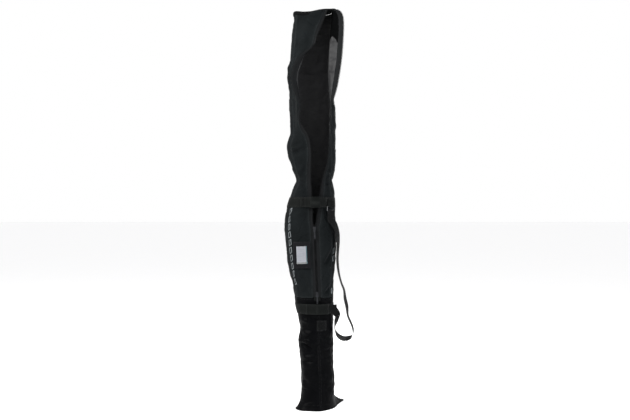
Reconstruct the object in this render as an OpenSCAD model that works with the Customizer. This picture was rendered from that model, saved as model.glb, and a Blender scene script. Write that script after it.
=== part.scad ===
// Ski bag, standing, with its long front zip open from the top down to the middle.
// Millimetres. +Z is up, -Y is the front (the zip side), and the origin is on the floor under the bag.

/* [Body] */
// Height of the bag, from the floor to its top edge
bag_h = 1900; // [1700:10:2000]
// Girth of the bag, as a percentage of the usual one
girth = 100; // [95:1:105]
// Thickness of the outer fabric
fabric_t = 1.6; // [1.2:0.1:2]
// Thickness of the lining
lining_t = 0.8; // [0.6:0.1:1]
// Height of the seam where the upper fabric meets the foot
foot_seam_z = 530; // [520:5:540]

/* [Webbing] */
// Width of the webbing of the bands and handles
webbing_w = 48; // [44:1:50]
// Thickness of all webbing
webbing_t = 1.8; // [1.4:0.1:2]
// Height of the middle of the lower band
lower_band_z = 478; // [474:1:482]
// Height of the middle of the upper band
upper_band_z = 982; // [978:1:986]
// How far the handles stand off the front
handle_gap = 24; // [20:1:28]
// Width of the shoulder strap
strap_w = 38; // [34:1:40]

/* [Zip] */
// Height of the middle of the upper slider
upper_slider_z = 854; // [850:1:858]
// Height of the middle of the lower slider
lower_slider_z = 547; // [546:1:552]
// Length of a slider
slider_len = 24; // [20:1:26]
// Length of a zip pull
pull_len = 44; // [36:1:46]

/* [Label pocket] */
// Width of the label card
card_w = 56; // [52:1:58]
// Height of the label card
card_h = 86; // [80:1:88]

/* [Hidden] */
$fn = 32;

tall = bag_h / 1900;
wide = girth / 100;
top_z = 1894 * tall;
gap = 0.4;            // clearance between pieces that are sewn edge to edge
clear = 0.5;          // clearance round pieces that slide
squareness = 2.5;     // exponent of the cross-section: 2 is an ellipse

// Outline of the loaded bag, as [height, place] for a 1900 mm bag.
left_edge = [
    [0, -68], [90, -66], [240, -72], [321, -80], [380, -72], [434, -80], [490, -93], [567, -104],
    [700, -132], [864, -146], [960, -134], [1034, -110], [1086, -89], [1140, -108], [1247, -134],
    [1310, -119], [1440, -124], [1516, -124], [1584, -134], [1683, -119], [1827, -106], [1900, -102]
];
right_edge = [
    [0, 90], [140, 94], [200, 90], [560, 88], [700, 97], [820, 101], [940, 97], [1034, 92],
    [1086, 82], [1150, 97], [1420, 98], [1490, 90], [1580, 84], [1700, 86], [1830, 98], [1900, 102]
];
front_edge = [
    [0, -78], [300, -76], [520, -80], [866, -82], [960, -81], [1086, -72], [1250, -79],
    [1400, -76], [1600, -74], [1900, -74]
];
back_edge = [
    [0, 80], [300, 76], [600, 72], [866, 70], [960, 69], [1086, 58], [1250, 65], [1500, 62], [1900, 58]
];

// Free edges of the open zip, as [height, x, y]. Both start where the closed zip ends.
zip_foot = [10.5, -79.4];
zip_head = [-3, -81.2];
open_z = 867;
left_opening = [
    [open_z, -5.3, -81.2], [889, -10, -82], [960, -12, -81], [1100, -19, -73], [1240, -20, -88],
    [1300, -35, -100], [1360, -74, -114], [1440, -75, -118], [1560, -112, -124], [1660, -79, -112],
    [1700, -33, -100], [1725, -3, -94], [1765, 9, -88], [1830, 37, -82], [1896, 63, -76]
];
right_opening = [
    [open_z, -0.7, -81.2], [889, 6, -82], [960, 15, -81], [1044, 27, -76], [1106, 38, -73],
    [1170, 57, -76], [1275, 67, -80], [1370, 70, -80], [1440, 79, -79], [1490, 95, -77],
    [1545, 108, -78], [1655, 125, -80], [1780, 134, -80], [1850, 133, -79], [1880, 121, -78],
    [1890, 104, -77], [1896, 77, -76]
];
// Outline of the base, as [angle, radius] about base_centre. Two corners stick out as points.
base_centre = [20, 20];
base_outline = [
    [-180, 100], [-168, 106], [-151, 128], [-132, 136], [-110, 122], [-90, 118], [-70, 102],
    [-35, 86], [7, 88], [30, 120], [45, 168], [62, 132], [82, 108], [110, 100], [148, 95], [180, 100]
];

// Angles that part the panels: 0 is right, 90 back, -90 front.
back_from = 35;
back_to = 145;
side_to = 215;

band_rows = 3;
foot_rows = [
    5, 12, 24, 40, 60, 85, 120, 170, 230, 285, 321, 355, 400, lower_band_z - 24, lower_band_z - 8,
    lower_band_z + 8, lower_band_z + 24, foot_seam_z - gap
];
body_rows = [
    foot_seam_z + gap, 567, 620, 700, 780, open_z, 889, 925, upper_band_z - 24, upper_band_z - 8,
    upper_band_z + 8, upper_band_z + 24, 1050, 1086, 1125, 1180, 1247,
    1290, 1330, 1365, 1440, 1500, 1560, 1610, 1660, 1700, 1730, 1765, 1800, 1830, 1856, 1876, 1888, 1894
];

// ---- Curves through stations ----
function unit(v) = v / norm(v);
function mix(a, b, t) = a + (b - a) * t;
function ease(t) = let (c = min(1, max(0, t))) c * c * (3 - 2 * c);
function value(row) = len(row) == 2 ? row[1] : [for (k = [1:len(row) - 1]) row[k]];
function slope(p, i) =
    let (a = max(0, i - 1), b = min(len(p) - 1, i + 1))
    (value(p[b]) - value(p[a])) / (p[b][0] - p[a][0]);
function span_of(p, at, i = 0) = i >= len(p) - 2 || at < p[i + 1][0] ? i : span_of(p, at, i + 1);
function along(p, at) =
    let (i = span_of(p, at), h = p[i + 1][0] - p[i][0], t = min(1, max(0, (at - p[i][0]) / h)))
    value(p[i]) * (2 * t * t * t - 3 * t * t + 1) + slope(p, i) * h * (t * t * t - 2 * t * t + t)
    + value(p[i + 1]) * (3 * t * t - 2 * t * t * t) + slope(p, i + 1) * h * (t * t * t - t * t);

// ---- The body's surface ----
function left_at(z) = along(left_edge, z / tall) * wide;
function right_at(z) = along(right_edge, z / tall) * wide;
function front_at(z) = along(front_edge, z / tall) * wide;
function back_at(z) = along(back_edge, z / tall) * wide;
function signed_pow(v, e) = sign(v) * pow(abs(v), e);
function centre_x(z) = (left_at(z) + right_at(z)) / 2;
function centre_y(z) = (front_at(z) + back_at(z)) / 2;
function half_w(z) = (right_at(z) - left_at(z)) / 2;
function half_d(z) = (back_at(z) - front_at(z)) / 2;
function base_radius(a) = along(base_outline, a > 180 ? a - 360 : a < -180 ? a + 360 : a);
function flare(z) = pow(1 - min(1, z / (95 * tall)), 2.2);
function top_sag(x, z) =
    (14 * exp(-pow((x + 40) / 55, 2)) - 8 * exp(-pow((x - 100) / 32, 2))) * ease((z / tall - 1790) / 100);
function loft(a, z) =
    let (
        x = centre_x(z) + half_w(z) * signed_pow(cos(a), 2 / squareness),
        y = centre_y(z) + half_d(z) * signed_pow(sin(a), 2 / squareness),
        out = base_centre * wide + base_radius(a) * wide * [cos(a), sin(a)],
        f = flare(z)
    )
    [mix(x, out[0], f), mix(y, out[1], f), z - top_sag(x, z)];
function front_angle(x, z) =
    -acos(signed_pow(max(-1, min(1, (x - centre_x(z)) / half_w(z))), squareness / 2));
function closed_zip(z) =
    let (t = (z - foot_seam_z) / (open_z - foot_seam_z)) mix(zip_foot, zip_head, t);
function closed_x(z) = z <= open_z ? closed_zip(z)[0] : mix(zip_head[0], 68, ease((z / tall - open_z) / 1030));
function opening(side, z) =
    z <= open_z ? closed_zip(z) + [2.3 * side, 0]
    : along(side < 0 ? left_opening : right_opening, z / tall);
// A point on a front panel: 0 is its side seam and 1 the middle of its zip coil.
function flap(side, s, z) =
    let (
        from = side < 0 ? side_to - 360 : -back_from,
        shut = front_angle(closed_x(z), z),
        p = loft(mix(from, shut, s), z),
        q = loft(shut, z),
        e = opening(side, z),
        w = pow(max(0, s), 1.7)
    )
    [p[0] + w * (e[0] - q[0]), p[1] + w * (e[1] - q[1]), p[2]];
function edge_width(side, z) = norm(flap(side, 1, z) - flap(side, 0.8, z)) / 0.2;
// Where the cloth doubles back near the zip, the width has a floor, so that strips keep to the edge.
function flap_width(side, z) = max(72, edge_width(side, z));

// ---- Closed sheets from grids of points ----
function normal_at(g, i, j, ring) =
    let (
        n = len(g), m = len(g[0]),
        u = g[i][ring ? (j + 1) % m : min(m - 1, j + 1)] - g[i][ring ? (j + m - 1) % m : max(0, j - 1)],
        v = g[min(n - 1, i + 1)][j] - g[max(0, i - 1)][j]
    )
    unit(cross(u, v));
function moved_out(g, d, ring = false) =
    [for (i = [0:len(g) - 1]) [for (j = [0:len(g[0]) - 1]) g[i][j] + d * normal_at(g, i, j, ring)]];
function quad(a, b, c, d) = [[a, d, c], [a, c, b]];
function edge_faces(n, m, last, ring) =
    let (s = n * m)
    concat(
        [for (j = [0:last]) let (k = (j + 1) % m) each quad(s + j, s + k, k, j)],
        [for (j = [0:last]) let (k = (j + 1) % m, r = (n - 1) * m) each quad(r + j, r + k, s + r + k, s + r + j)],
        ring ? [] : [for (i = [0:n - 2]) each quad(s + i * m, i * m, (i + 1) * m, s + (i + 1) * m)],
        ring ? [] : [for (i = [0:n - 2]) let (a = i * m + m - 1, b = a + m) each quad(a, s + a, s + b, b)]
    );
// outer and inner are grids of the same size, with columns running anticlockwise seen from above.
module sheet(outer, inner, ring = false) {
    n = len(outer);
    m = len(outer[0]);
    s = n * m;
    last = ring ? m - 1 : m - 2;
    faces = concat(
        [for (i = [0:n - 2], j = [0:last]) let (k = (j + 1) % m, a = i * m, b = a + m)
            each quad(a + j, a + k, b + k, b + j)],
        [for (i = [0:n - 2], j = [0:last]) let (k = (j + 1) % m, a = s + i * m, b = a + m)
            each quad(a + j, b + j, b + k, a + k)],
        edge_faces(n, m, last, ring)
    );
    polyhedron(concat([for (r = outer) each r], [for (r = inner) each r]), faces, convexity = 10);
}
module skin(grid, lift, t, ring = false) sheet(moved_out(grid, lift, ring), moved_out(grid, lift - t, ring), ring);

// ---- Grids ----
function steps(a, b, n) = [for (i = [0:n]) mix(a, b, i / n)];
function reversed(list) = [for (i = [1:len(list)]) list[len(list) - i]];
function arc_grid(from, to, cols, rows) = [for (z = rows) [for (a = steps(from, to, cols)) loft(a, z * 1)]];
function flap_grid(side, s0, s1, cols, rows) =
    [for (z = rows) [for (s = side < 0 ? steps(s0, s1, cols) : steps(s1, s0, cols)) flap(side, s, z)]];
function scaled(rows) = [for (z = rows) z <= open_z ? z : open_z + (z - open_z) * (top_z - open_z) / (1894 - open_z)];
function strip_rows(mid, w) = steps(mid - w / 2, mid + w / 2, band_rows);
function share(side, z, mm) = 1 - mm / flap_width(side, z);
function edge_grid(side, mm0, mm1, rows) =
    [for (z = rows) [for (mm = side < 0 ? [mm0, mm1] : [mm1, mm0]) flap(side, share(side, z, mm), z)]];
function patch_grid(x0, x1, cols, rows) =
    [for (z = rows) [for (x = steps(x0, x1, cols)) loft(front_angle(x, z), z)]];

// A ribbon swept along a route: path points, a width direction at each, its width and thickness.
function tangent_at(p, i) = unit(p[min(len(p) - 1, i + 1)] - p[max(0, i - 1)]);
function ribbon_ring(p, i, dir, w, t) =
    let (d = tangent_at(p, i), a = unit(dir - (dir * d) * d), n = cross(d, a))
    [p[i] + a * w / 2 + n * t / 2, p[i] - a * w / 2 + n * t / 2, p[i] - a * w / 2 - n * t / 2, p[i] + a * w / 2 - n * t / 2];
module ribbon(p, dirs, w, t) {
    n = len(p);
    pts = [for (i = [0:n - 1]) each ribbon_ring(p, i, dirs[i], w, t)];
    faces = concat(
        [for (i = [0:n - 2], j = [0:3]) let (a = i * 4 + j, b = i * 4 + (j + 1) % 4) each quad(a, b, b + 4, a + 4)],
        quad(3, 2, 1, 0), quad(n * 4 - 4, n * 4 - 3, n * 4 - 2, n * 4 - 1)
    );
    polyhedron(pts, faces, convexity = 10);
}

// ---- Fabric ----
rows_up = scaled(body_rows);
module back_panel() color([0.13, 0.14, 0.15])
    skin(arc_grid(back_from + 0.3, back_to - 0.3, 7, rows_up), 0, fabric_t);
module left_side_panel() color([0.13, 0.14, 0.15])
    skin(arc_grid(back_to + 0.3, side_to - 0.3, 5, rows_up), 0, fabric_t);
module right_side_panel() color([0.13, 0.14, 0.15])
    skin(arc_grid(-back_from + 0.3, back_from - 0.3, 5, rows_up), 0, fabric_t);
tape_w = 15;
coil_w = 3;
function front_panel_grid(side) =
    let (cols = 6)
    [for (z = rows_up)
        let (end = share(side, z, coil_w / 2 + tape_w + gap), ss = side < 0 ? steps(0.004, end, cols) : steps(end, 0.004, cols))
        [for (s = ss) flap(side, s, z)]];
module front_left_panel() color([0.14, 0.15, 0.16]) skin(front_panel_grid(-1), 0, fabric_t);
module front_right_panel() color([0.14, 0.15, 0.16]) skin(front_panel_grid(1), 0, fabric_t);

lining_lift = -fabric_t - 1.8;
module lining_back() color([0.3, 0.3, 0.31])
    skin(arc_grid(back_from + 0.3, back_to - 0.3, 7, rows_up), lining_lift, lining_t);
function lining_side_grid(side) =
    let (cols = 6)
    [for (z = rows_up)
        let (
            panel_end = share(side, z, coil_w / 2 + tape_w + gap),
            panel = steps(0.004, panel_end, cols),
            near = [for (k = [0:cols]) k == 0 ? 0.02 : k < cols ? panel[k] : mix(panel[cols - 1], panel[cols], 0.5)],
            wall = side < 0 ? steps(back_to + 1.5, side_to - 3, 4) : steps(-back_from + 3, back_from - 1.5, 4),
            front = side < 0 ? near : reversed(near),
            wall_points = [for (a = wall) loft(a, z)],
            front_points = [for (s = front) flap(side, s, z)]
        )
        side < 0 ? concat(wall_points, front_points) : concat(front_points, wall_points)];
module lining_left() color([0.3, 0.3, 0.31]) skin(lining_side_grid(-1), lining_lift, lining_t);
module lining_right() color([0.3, 0.3, 0.31]) skin(lining_side_grid(1), lining_lift, lining_t);

// The end panel closes the top between the back, the sides and the left front panel.
cap_rows = 5;
cap_cols = 10;
function cap_point(u, v) =
    let (
        f = loft(mix(-158, -25, u), top_z),
        b = loft(mix(158, 25, u), top_z),
        p = mix(f, b, v)
    )
    p + [0, 0, 1 + 3 * sin(180 * v) * sin(180 * u)];
module top_panel() color([0.13, 0.14, 0.15])
    skin([for (v = steps(0.02, 0.98, cap_rows)) [for (u = steps(0.01, 0.99, cap_cols)) cap_point(u, v)]],
         fabric_t + 0.4, fabric_t);
// Binding that covers the edge of the end panel and the tops of the other panels.
module top_binding() color([0.08, 0.08, 0.09])
    skin([for (z = [top_z - 13, top_z - 6, top_z + 0.2])
        concat(
            [for (a = steps(-back_from + 2, side_to - 3, 24)) loft(a, z)],
            [for (s = steps(0.03, share(-1, z, 24), 8)) flap(-1, s, z)]
        )], 0.3 + 1.2, 1.2);

// ---- Foot ----
module foot_back() color([0.06, 0.06, 0.07]) skin(arc_grid(0.4, 179.6, 16, foot_rows), 0, fabric_t);
foot_seam_a = -84;
module foot_front_left() color([0.06, 0.06, 0.07])
    skin(arc_grid(-179.6, foot_seam_a - 0.3, 9, foot_rows), 0, fabric_t);
module foot_front_right() color([0.06, 0.06, 0.07])
    skin(arc_grid(foot_seam_a + 0.3, -0.4, 8, foot_rows), 0, fabric_t);
module foot_seam_tape() color([0.05, 0.05, 0.055])
    skin(arc_grid(foot_seam_a - 5, foot_seam_a + 5, 1, [for (z = foot_rows) if (z > 20 && z < 445) z]), -fabric_t - 1.2, 0.8);
// A square of webbing, box-stitched under the lower handle.
module foot_patch() color([0.07, 0.07, 0.08])
    skin(patch_grid(8, 54, 4, steps(373, 424, 3)), 0.4 + webbing_t, webbing_t);
base_t = 3;
module base_panel() color([0.05, 0.05, 0.06])
    linear_extrude(base_t)
        polygon([for (a = [-180:9:171]) base_centre * wide + (base_radius(a) * wide - 3) * [cos(a), sin(a)]]);
// Piping round the base, over the foot of the sleeve.
function piping_point(a, out, z) =
    let (p = base_centre * wide + (base_radius(a) * wide + out) * [cos(a), sin(a)]) [p[0], p[1], z];
module base_binding() color([0.04, 0.04, 0.05])
    sheet(
        [for (z = [0, 3.2]) [for (a = [-180:9:171]) piping_point(a, 0.8, z)]],
        [for (z = [0, 3.2]) [for (a = [-180:9:171]) piping_point(a, -2.2, z)]],
        true
    );

// ---- Zip ----
tape_t = 1;
coil_t = 2.4;
coil_gap = 2.4;         // between a row of coil and the edge of its tape
zip_rows = scaled(concat([foot_seam_z + 4, 640, 760], [for (z = body_rows) if (z >= open_z) z]));
// The gap opens out where the cloth doubles back.
function tape_start(side, z) = coil_w / 2 + coil_gap + 14.5 * max(0, 1 - edge_width(side, z) / 72);
function tape_grid(side) =
    [for (z = zip_rows)
        let (ends = [coil_w / 2 + tape_w - 0.1, tape_start(side, z)])
        [for (mm = side < 0 ? ends : [ends[1], ends[0]]) flap(side, share(side, z, mm), z)]];
module zip_tape(side) color([0.17, 0.17, 0.17]) skin(tape_grid(side), 0, tape_t);
module zip_coil(side) color([0.05, 0.05, 0.05])
    skin(edge_grid(side, coil_w / 2, -coil_w / 2, zip_rows), coil_t / 2 - tape_t / 2, coil_t);
module zip_tape_left() zip_tape(-1);
module zip_tape_right() zip_tape(1);
module zip_coil_left() zip_coil(-1);
module zip_coil_right() zip_coil(1);

zip_lean = [zip_head[0] - zip_foot[0], zip_head[1] - zip_foot[1], open_z - foot_seam_z];
zip_dir = unit(zip_lean);
zip_mid = tape_t / 2;       // the zip's middle plane lies this far behind its outer line
// Places children on the closed zip at height z, with their Z along the zip and their Y through it.
module on_zip(z)
    translate([closed_zip(z)[0], closed_zip(z)[1] + zip_mid, z])
        rotate([-asin(zip_dir[1]), atan2(zip_dir[0], zip_dir[2]), 0]) children();
slider_w = 14;
plate_t = 1.6;
inner_gap = coil_t / 2 + clear;      // from the middle plane to each plate
pull_hole_r = 2.2;
bail_r = 1.3;
bail_reach = 4.6;                    // from the outer plate to the middle of the bail
module slider(wedge_end) color([0.62, 0.62, 0.63]) {
    difference() {
        union() {
            translate([-slider_w / 2, -inner_gap - plate_t, -slider_len / 2])
                cube([slider_w, inner_gap * 2 + plate_t * 2, slider_len]);
            for (x = [-1, 1])
                translate([x * 3.6, 0, 0]) bail_foot();
            translate([-3.6 - bail_r, -inner_gap - plate_t - bail_reach, 0])
                rotate([0, 90, 0]) cylinder(r = bail_r, h = 7.2 + bail_r * 2);
        }
        // A channel for the two coils and slots for the two tapes.
        difference() {
            translate([-4.4, -inner_gap, -slider_len / 2 - 1]) cube([8.8, inner_gap * 2, slider_len + 2]);
            // The wedge that parts the coils.
            translate([-0.5, -inner_gap - 1, wedge_end * (slider_len / 2 - 3) - 3]) cube([1, inner_gap * 2 + 2, 6]);
        }
        for (x = [-1, 1])
            translate([x * 6 - 2.5, -tape_t / 2 - clear, -slider_len / 2 - 1])
                cube([5, tape_t + clear * 2, slider_len + 2]);
    }
}
module bail_foot()
    translate([-bail_r, -inner_gap - plate_t - bail_reach, -bail_r])
        cube([bail_r * 2, bail_reach + 0.5, bail_r * 2]);
pull_t = 1.5;
pull_w = 8;
eye_w = 3.8;
eye_r = bail_r + 1.2;
module pull() color([0.7, 0.7, 0.71])
    translate([0, -inner_gap - plate_t - bail_reach, 0])
        difference() {
            union() {
                translate([-eye_w / 2, 0, 0]) rotate([0, 90, 0]) cylinder(r = eye_r, h = eye_w);
                translate([-eye_w / 2, -pull_t / 2, -14]) cube([eye_w, pull_t, 14]);
                translate([-pull_w / 2, -pull_t / 2 - 0.5, -pull_len]) cube([pull_w, pull_t + 1, pull_len - 12]);
            }
            translate([-5, 0, 0]) rotate([0, 90, 0]) cylinder(r = bail_r + 0.06, h = 10);
            translate([0, 5, -pull_len + 5]) rotate([90, 0, 0]) cylinder(r = 2, h = 10);
        }
module upper_slider() on_zip(upper_slider_z) slider(1);
module lower_slider() on_zip(lower_slider_z) slider(-1);
module upper_pull() on_zip(upper_slider_z) pull();
module lower_pull() on_zip(lower_slider_z) pull();
// A folded tab that closes the lower end of the zip.
module zip_end_tab() color([0.1, 0.1, 0.1])
    skin(patch_grid(-4, 25, 2, [foot_seam_z - 12, foot_seam_z - 4, foot_seam_z + 3]), 0.5 + 1.6, 1.6);

// ---- Bands and handles ----
module upper_band() color([0.1, 0.1, 0.1])
    skin([for (z = strip_rows(upper_band_z, webbing_w))
        let (
            right = steps(0.004, share(1, z, coil_w / 2 + tape_w + gap), 6),
            left = steps(0.004, share(-1, z, coil_w / 2 + tape_w + gap), 6)
        )
        concat(
            [for (k = [5, 4, 3, 2, 1]) flap(1, right[k], z)],
            [for (a = steps(-back_from + 2, side_to - 2, 24)) loft(a, z)],
            [for (k = [1, 2, 3, 4, 5]) flap(-1, left[k], z)]
        )], 0.4 + webbing_t, webbing_t);
module lower_band() color([0.1, 0.1, 0.1])
    skin(arc_grid(-180, 170, 35, strip_rows(lower_band_z, webbing_w)), 0.3 + webbing_t, webbing_t, true);

// Each handle is webbing in three pieces: two ends that are sewn flat on the band and then rise
// from it, and a free middle that swings between them about a line along X.
tab_lift = 0.4 + webbing_t + 0.8;
rise = 14;              // how far the ends rise before the free middle starts
swing_gap = 0.5;
upper_handle_x = [-38, 42];
lower_handle_x = [-32, 50];
upper_handle_y = -81 - rise;
lower_handle_y = -78 - rise;
function rising(x0, x1, y, z) = [for (q = [[0, 0.5], [0.62, 1], [1, 1]]) [mix(x0, x1, q[0]), y + rise * (1 - q[1]), z]];
module handle_end(grid) skin(grid, tab_lift + webbing_t, webbing_t);
module upper_handle_end(side)
    handle_end([for (z = strip_rows(upper_band_z, webbing_w - 1))
        let (
            x = side < 0 ? upper_handle_x[0] : upper_handle_x[1],
            flat = [for (mm = [68, 52, 38]) flap(side, share(side, z, mm), z)],
            row = concat(flat, rising(x + 8 * side, x, upper_handle_y + tab_lift, z))
        )
        side < 0 ? row : reversed(row)]);
module lower_handle_end(side)
    handle_end([for (z = strip_rows(lower_band_z, webbing_w - 1))
        let (
            x = side < 0 ? lower_handle_x[0] : lower_handle_x[1],
            flat = [for (a = side < 0 ? [-150, -140, -130] : [-30, -40, -50]) loft(a, z)],
            row = concat(flat, rising(x + 8 * side, x, lower_handle_y + tab_lift, z))
        )
        side < 0 ? row : reversed(row)]);
// The free middle of a handle, level at both ends and bowed out between them.
handle_cols = 12;
function bow(u) = (handle_gap - rise) * pow(sin(180 * u), 1.4);
module handle_middle(mid, ends, y)
    skin([for (z = strip_rows(mid, webbing_w - 1))
        [for (x = steps(ends[0] + swing_gap, ends[1] - swing_gap, handle_cols))
            [x, y - bow((x - ends[0]) / (ends[1] - ends[0])), z]]], webbing_t, webbing_t);
module upper_handle_end_left() color([0.1, 0.1, 0.1]) upper_handle_end(-1);
module upper_handle_end_right() color([0.1, 0.1, 0.1]) upper_handle_end(1);
module lower_handle_end_left() color([0.1, 0.1, 0.1]) lower_handle_end(-1);
module lower_handle_end_right() color([0.1, 0.1, 0.1]) lower_handle_end(1);
module upper_handle() color([0.1, 0.1, 0.1]) handle_middle(upper_band_z, upper_handle_x, upper_handle_y);
module lower_handle() color([0.1, 0.1, 0.1]) handle_middle(lower_band_z, lower_handle_x, lower_handle_y);
// A soft wrap closed round the middle of the upper handle.
wrap_x = [-22, 26];
wrap_t = 2;
function wrap_ring(x, d) =
    let (
        y = upper_handle_y - bow((x - upper_handle_x[0]) / (upper_handle_x[1] - upper_handle_x[0])),
        h = webbing_w / 2 + 0.1 + d,
        front = y - webbing_t - 0.7 - d,
        back = y + 0.7 + d
    )
    [[x, front, upper_band_z - h], [x, front, upper_band_z + h], [x, back, upper_band_z + h], [x, back, upper_band_z - h]];
module upper_handle_wrap() color([0.12, 0.12, 0.13])
    sheet(
        [for (x = steps(wrap_x[0], wrap_x[1], 8)) wrap_ring(x, wrap_t)],
        [for (x = steps(wrap_x[0], wrap_x[1], 8)) wrap_ring(x, 0)],
        true
    );

// ---- Shoulder strap ----
ring_mid = [76, -77, 962];
ring_wire_r = 2;
ring_w = strap_w + 4;
ring_h = 20;
ring_turn = 30;             // the ring faces the front right
module at_ring() translate(ring_mid) rotate([0, 0, ring_turn]) children();
// A rectangular wire ring that hangs in the webbing tab.
module strap_ring() color([0.66, 0.66, 0.67])
    at_ring() {
        for (z = [0, -ring_h])
            translate([-ring_w / 2, 0, z]) rotate([0, 90, 0]) cylinder(r = ring_wire_r, h = ring_w);
        for (x = [-1, 1])
            translate([x * ring_w / 2, 0, -ring_h]) cylinder(r = ring_wire_r, h = ring_h);
        for (x = [-1, 1], z = [0, -ring_h])
            translate([x * ring_w / 2, 0, z]) sphere(r = ring_wire_r);
    }
// Webbing folded over the ring's upper bar and sewn to the band.
tab_gap = ring_wire_r + 0.06;
module ring_tab() color([0.1, 0.1, 0.1])
    at_ring() {
        difference() {
            translate([-strap_w / 2 + 1, 0, 0]) rotate([0, 90, 0]) cylinder(r = tab_gap + webbing_t, h = strap_w - 2);
            translate([-strap_w / 2, 0, 0]) rotate([0, 90, 0]) cylinder(r = tab_gap, h = strap_w);
        }
        translate([-strap_w / 2 + 1, tab_gap, 0]) cube([strap_w - 2, webbing_t, 25]);
    }
// The strap's upper end: webbing folded under the ring's lower bar and sewn to itself.
upper_end_len = 18;
module strap_upper_end() color([0.09, 0.09, 0.09])
    at_ring() translate([-strap_w / 2, 0, -ring_h])
        difference() {
            union() {
                rotate([0, 90, 0]) cylinder(r = tab_gap + webbing_t, h = strap_w);
                translate([0, -webbing_t, -upper_end_len]) cube([strap_w, webbing_t * 2, upper_end_len]);
            }
            translate([-1, 0, 0]) rotate([0, 90, 0]) cylinder(r = tab_gap, h = strap_w + 2);
        }

// The strap swings about the line between its two ends.
swing_top = ring_mid - [0, 0, ring_h + upper_end_len];
swing_foot = [108, -42, 440];
swing_dir = unit(swing_foot - swing_top);
// Middle line of the shoulder strap, and the direction of its width at each point.
strap_route = concat(
    [swing_top + swing_dir * 2.2, swing_top + swing_dir * 8],
    [
        [77, -70, 900], [88, -66, 884], [100, -60, 860], [108, -54, 830], [110, -47, 790], [108, -41, 745],
        [107, -36, 710], [110, -32, 670], [117, -29, 630], [126, -27, 590], [148, -24, 515], [164, -22, 441],
        [176, -21, 386], [181, -21, 354], [175, -22, 334], [160, -24, 322], [141, -27, 318], [124, -31, 325],
        [112, -35, 342], [106, -38, 366], [105, -40, 394]
    ],
    [swing_foot - swing_dir * -12, swing_foot + swing_dir * 0.6]
);
strap_turns = [
    [0.87, 0.5, 0], [0.87, 0.5, 0],
    [0.8, 0.6, 0], [0.6, 0.8, 0], [0.4, 0.9, 0], [0.25, 1, 0], [0.15, 1, 0], [0.1, 1, 0],
    [0.05, 1, 0], [0, 1, 0], [0.05, 1, 0], [0.1, 1, 0], [0.35, 1, 0], [0.35, 1, 0],
    [0.15, 1, 0.05], [0, 1, 0.1], [-0.05, 1, 0.15], [0, 1, 0.15], [0, 1, 0.15], [0.1, 1, 0.1],
    [0.2, 1, 0.1], [0.35, 1, 0.05], [0.45, 1, 0],
    [0.5, 1, 0], [0.5, 1, 0]
];
module shoulder_strap() color([0.09, 0.09, 0.09]) ribbon(strap_route, strap_turns, strap_w, webbing_t);
// The strap's lower end, which lies against the lower band.
module strap_lower_end() color([0.09, 0.09, 0.09])
    ribbon(
        [swing_foot, swing_foot - swing_dir * 8, [100, -46, 458], [91, -49, 470], [87, -50, 482], [87, -50, 496]],
        [for (i = [0:5]) [0.5, 1, 0]],
        strap_w, webbing_t
    );

// ---- Label pocket ----
pocket_r = 180;             // the pocket bends round the bag at this radius
pocket_turn = -10.4;
pocket_mid = [-60.6, -82.2, 733];
module at_pocket() translate(pocket_mid) rotate([1.2, 0, pocket_turn]) children();
// A plate bent to pocket_r, w wide and h high, its outer face y in front of the pocket's back.
module bent_plate(w, h, y, t)
    translate([0, pocket_r, 0])
        intersection() {
            difference() {
                cylinder(r = pocket_r + y, h = h, center = true, $fn = 96);
                cylinder(r = pocket_r + y - t, h = h + 2, center = true, $fn = 96);
            }
            translate([-w / 2, -pocket_r - 20, -h / 2 - 1]) cube([w, pocket_r, h + 2]);
        }
frame_w = 82;
frame_h = 126;
module label_pocket() color([0.1, 0.1, 0.11])
    at_pocket() difference() {
        bent_plate(frame_w, frame_h, 3.4, 2.8);
        // The card's slot, open at the top, and the window in front of it.
        translate([0, 0, frame_h / 4 - card_h / 4 + 2]) bent_plate(card_w + 2, frame_h / 2 + card_h / 2 + 6, 2.4, 1.2);
        bent_plate(card_w - 4, card_h - 4, 5, 4);
    }
module label_window() color([0.8, 0.85, 0.88, 0.4])
    at_pocket() bent_plate(card_w - 4.4, card_h - 4.4, 3.2, 0.5);
module label_card() color([0.95, 0.96, 0.97])
    at_pocket() bent_plate(card_w, card_h, 2.1, 0.4);
back_panel();
left_side_panel();
right_side_panel();
front_left_panel();
front_right_panel();
top_panel();
top_binding();
lining_back();
lining_left();
lining_right();
foot_back();
foot_front_left();
foot_front_right();
foot_seam_tape();
foot_patch();
base_panel();
base_binding();
zip_tape_left();
zip_tape_right();
zip_coil_left();
zip_coil_right();
zip_end_tab();
upper_slider();
upper_pull();
lower_slider();
lower_pull();
upper_band();
upper_handle_end_left();
upper_handle_end_right();
upper_handle();
upper_handle_wrap();
lower_band();
lower_handle_end_left();
lower_handle_end_right();
lower_handle();
ring_tab();
strap_ring();
strap_upper_end();
shoulder_strap();
strap_lower_end();
label_pocket();
label_window();
label_card();
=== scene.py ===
"""Visual model of the standing ski bag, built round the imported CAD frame.

All shapes are worked out in millimetres, in the CAD's own frame, and turned into metres when a
mesh is made. +Z is up, -Y is the front with the zip.
"""
import math

import bmesh
import bpy
import numpy as np
from mathutils import Matrix, Vector


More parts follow.
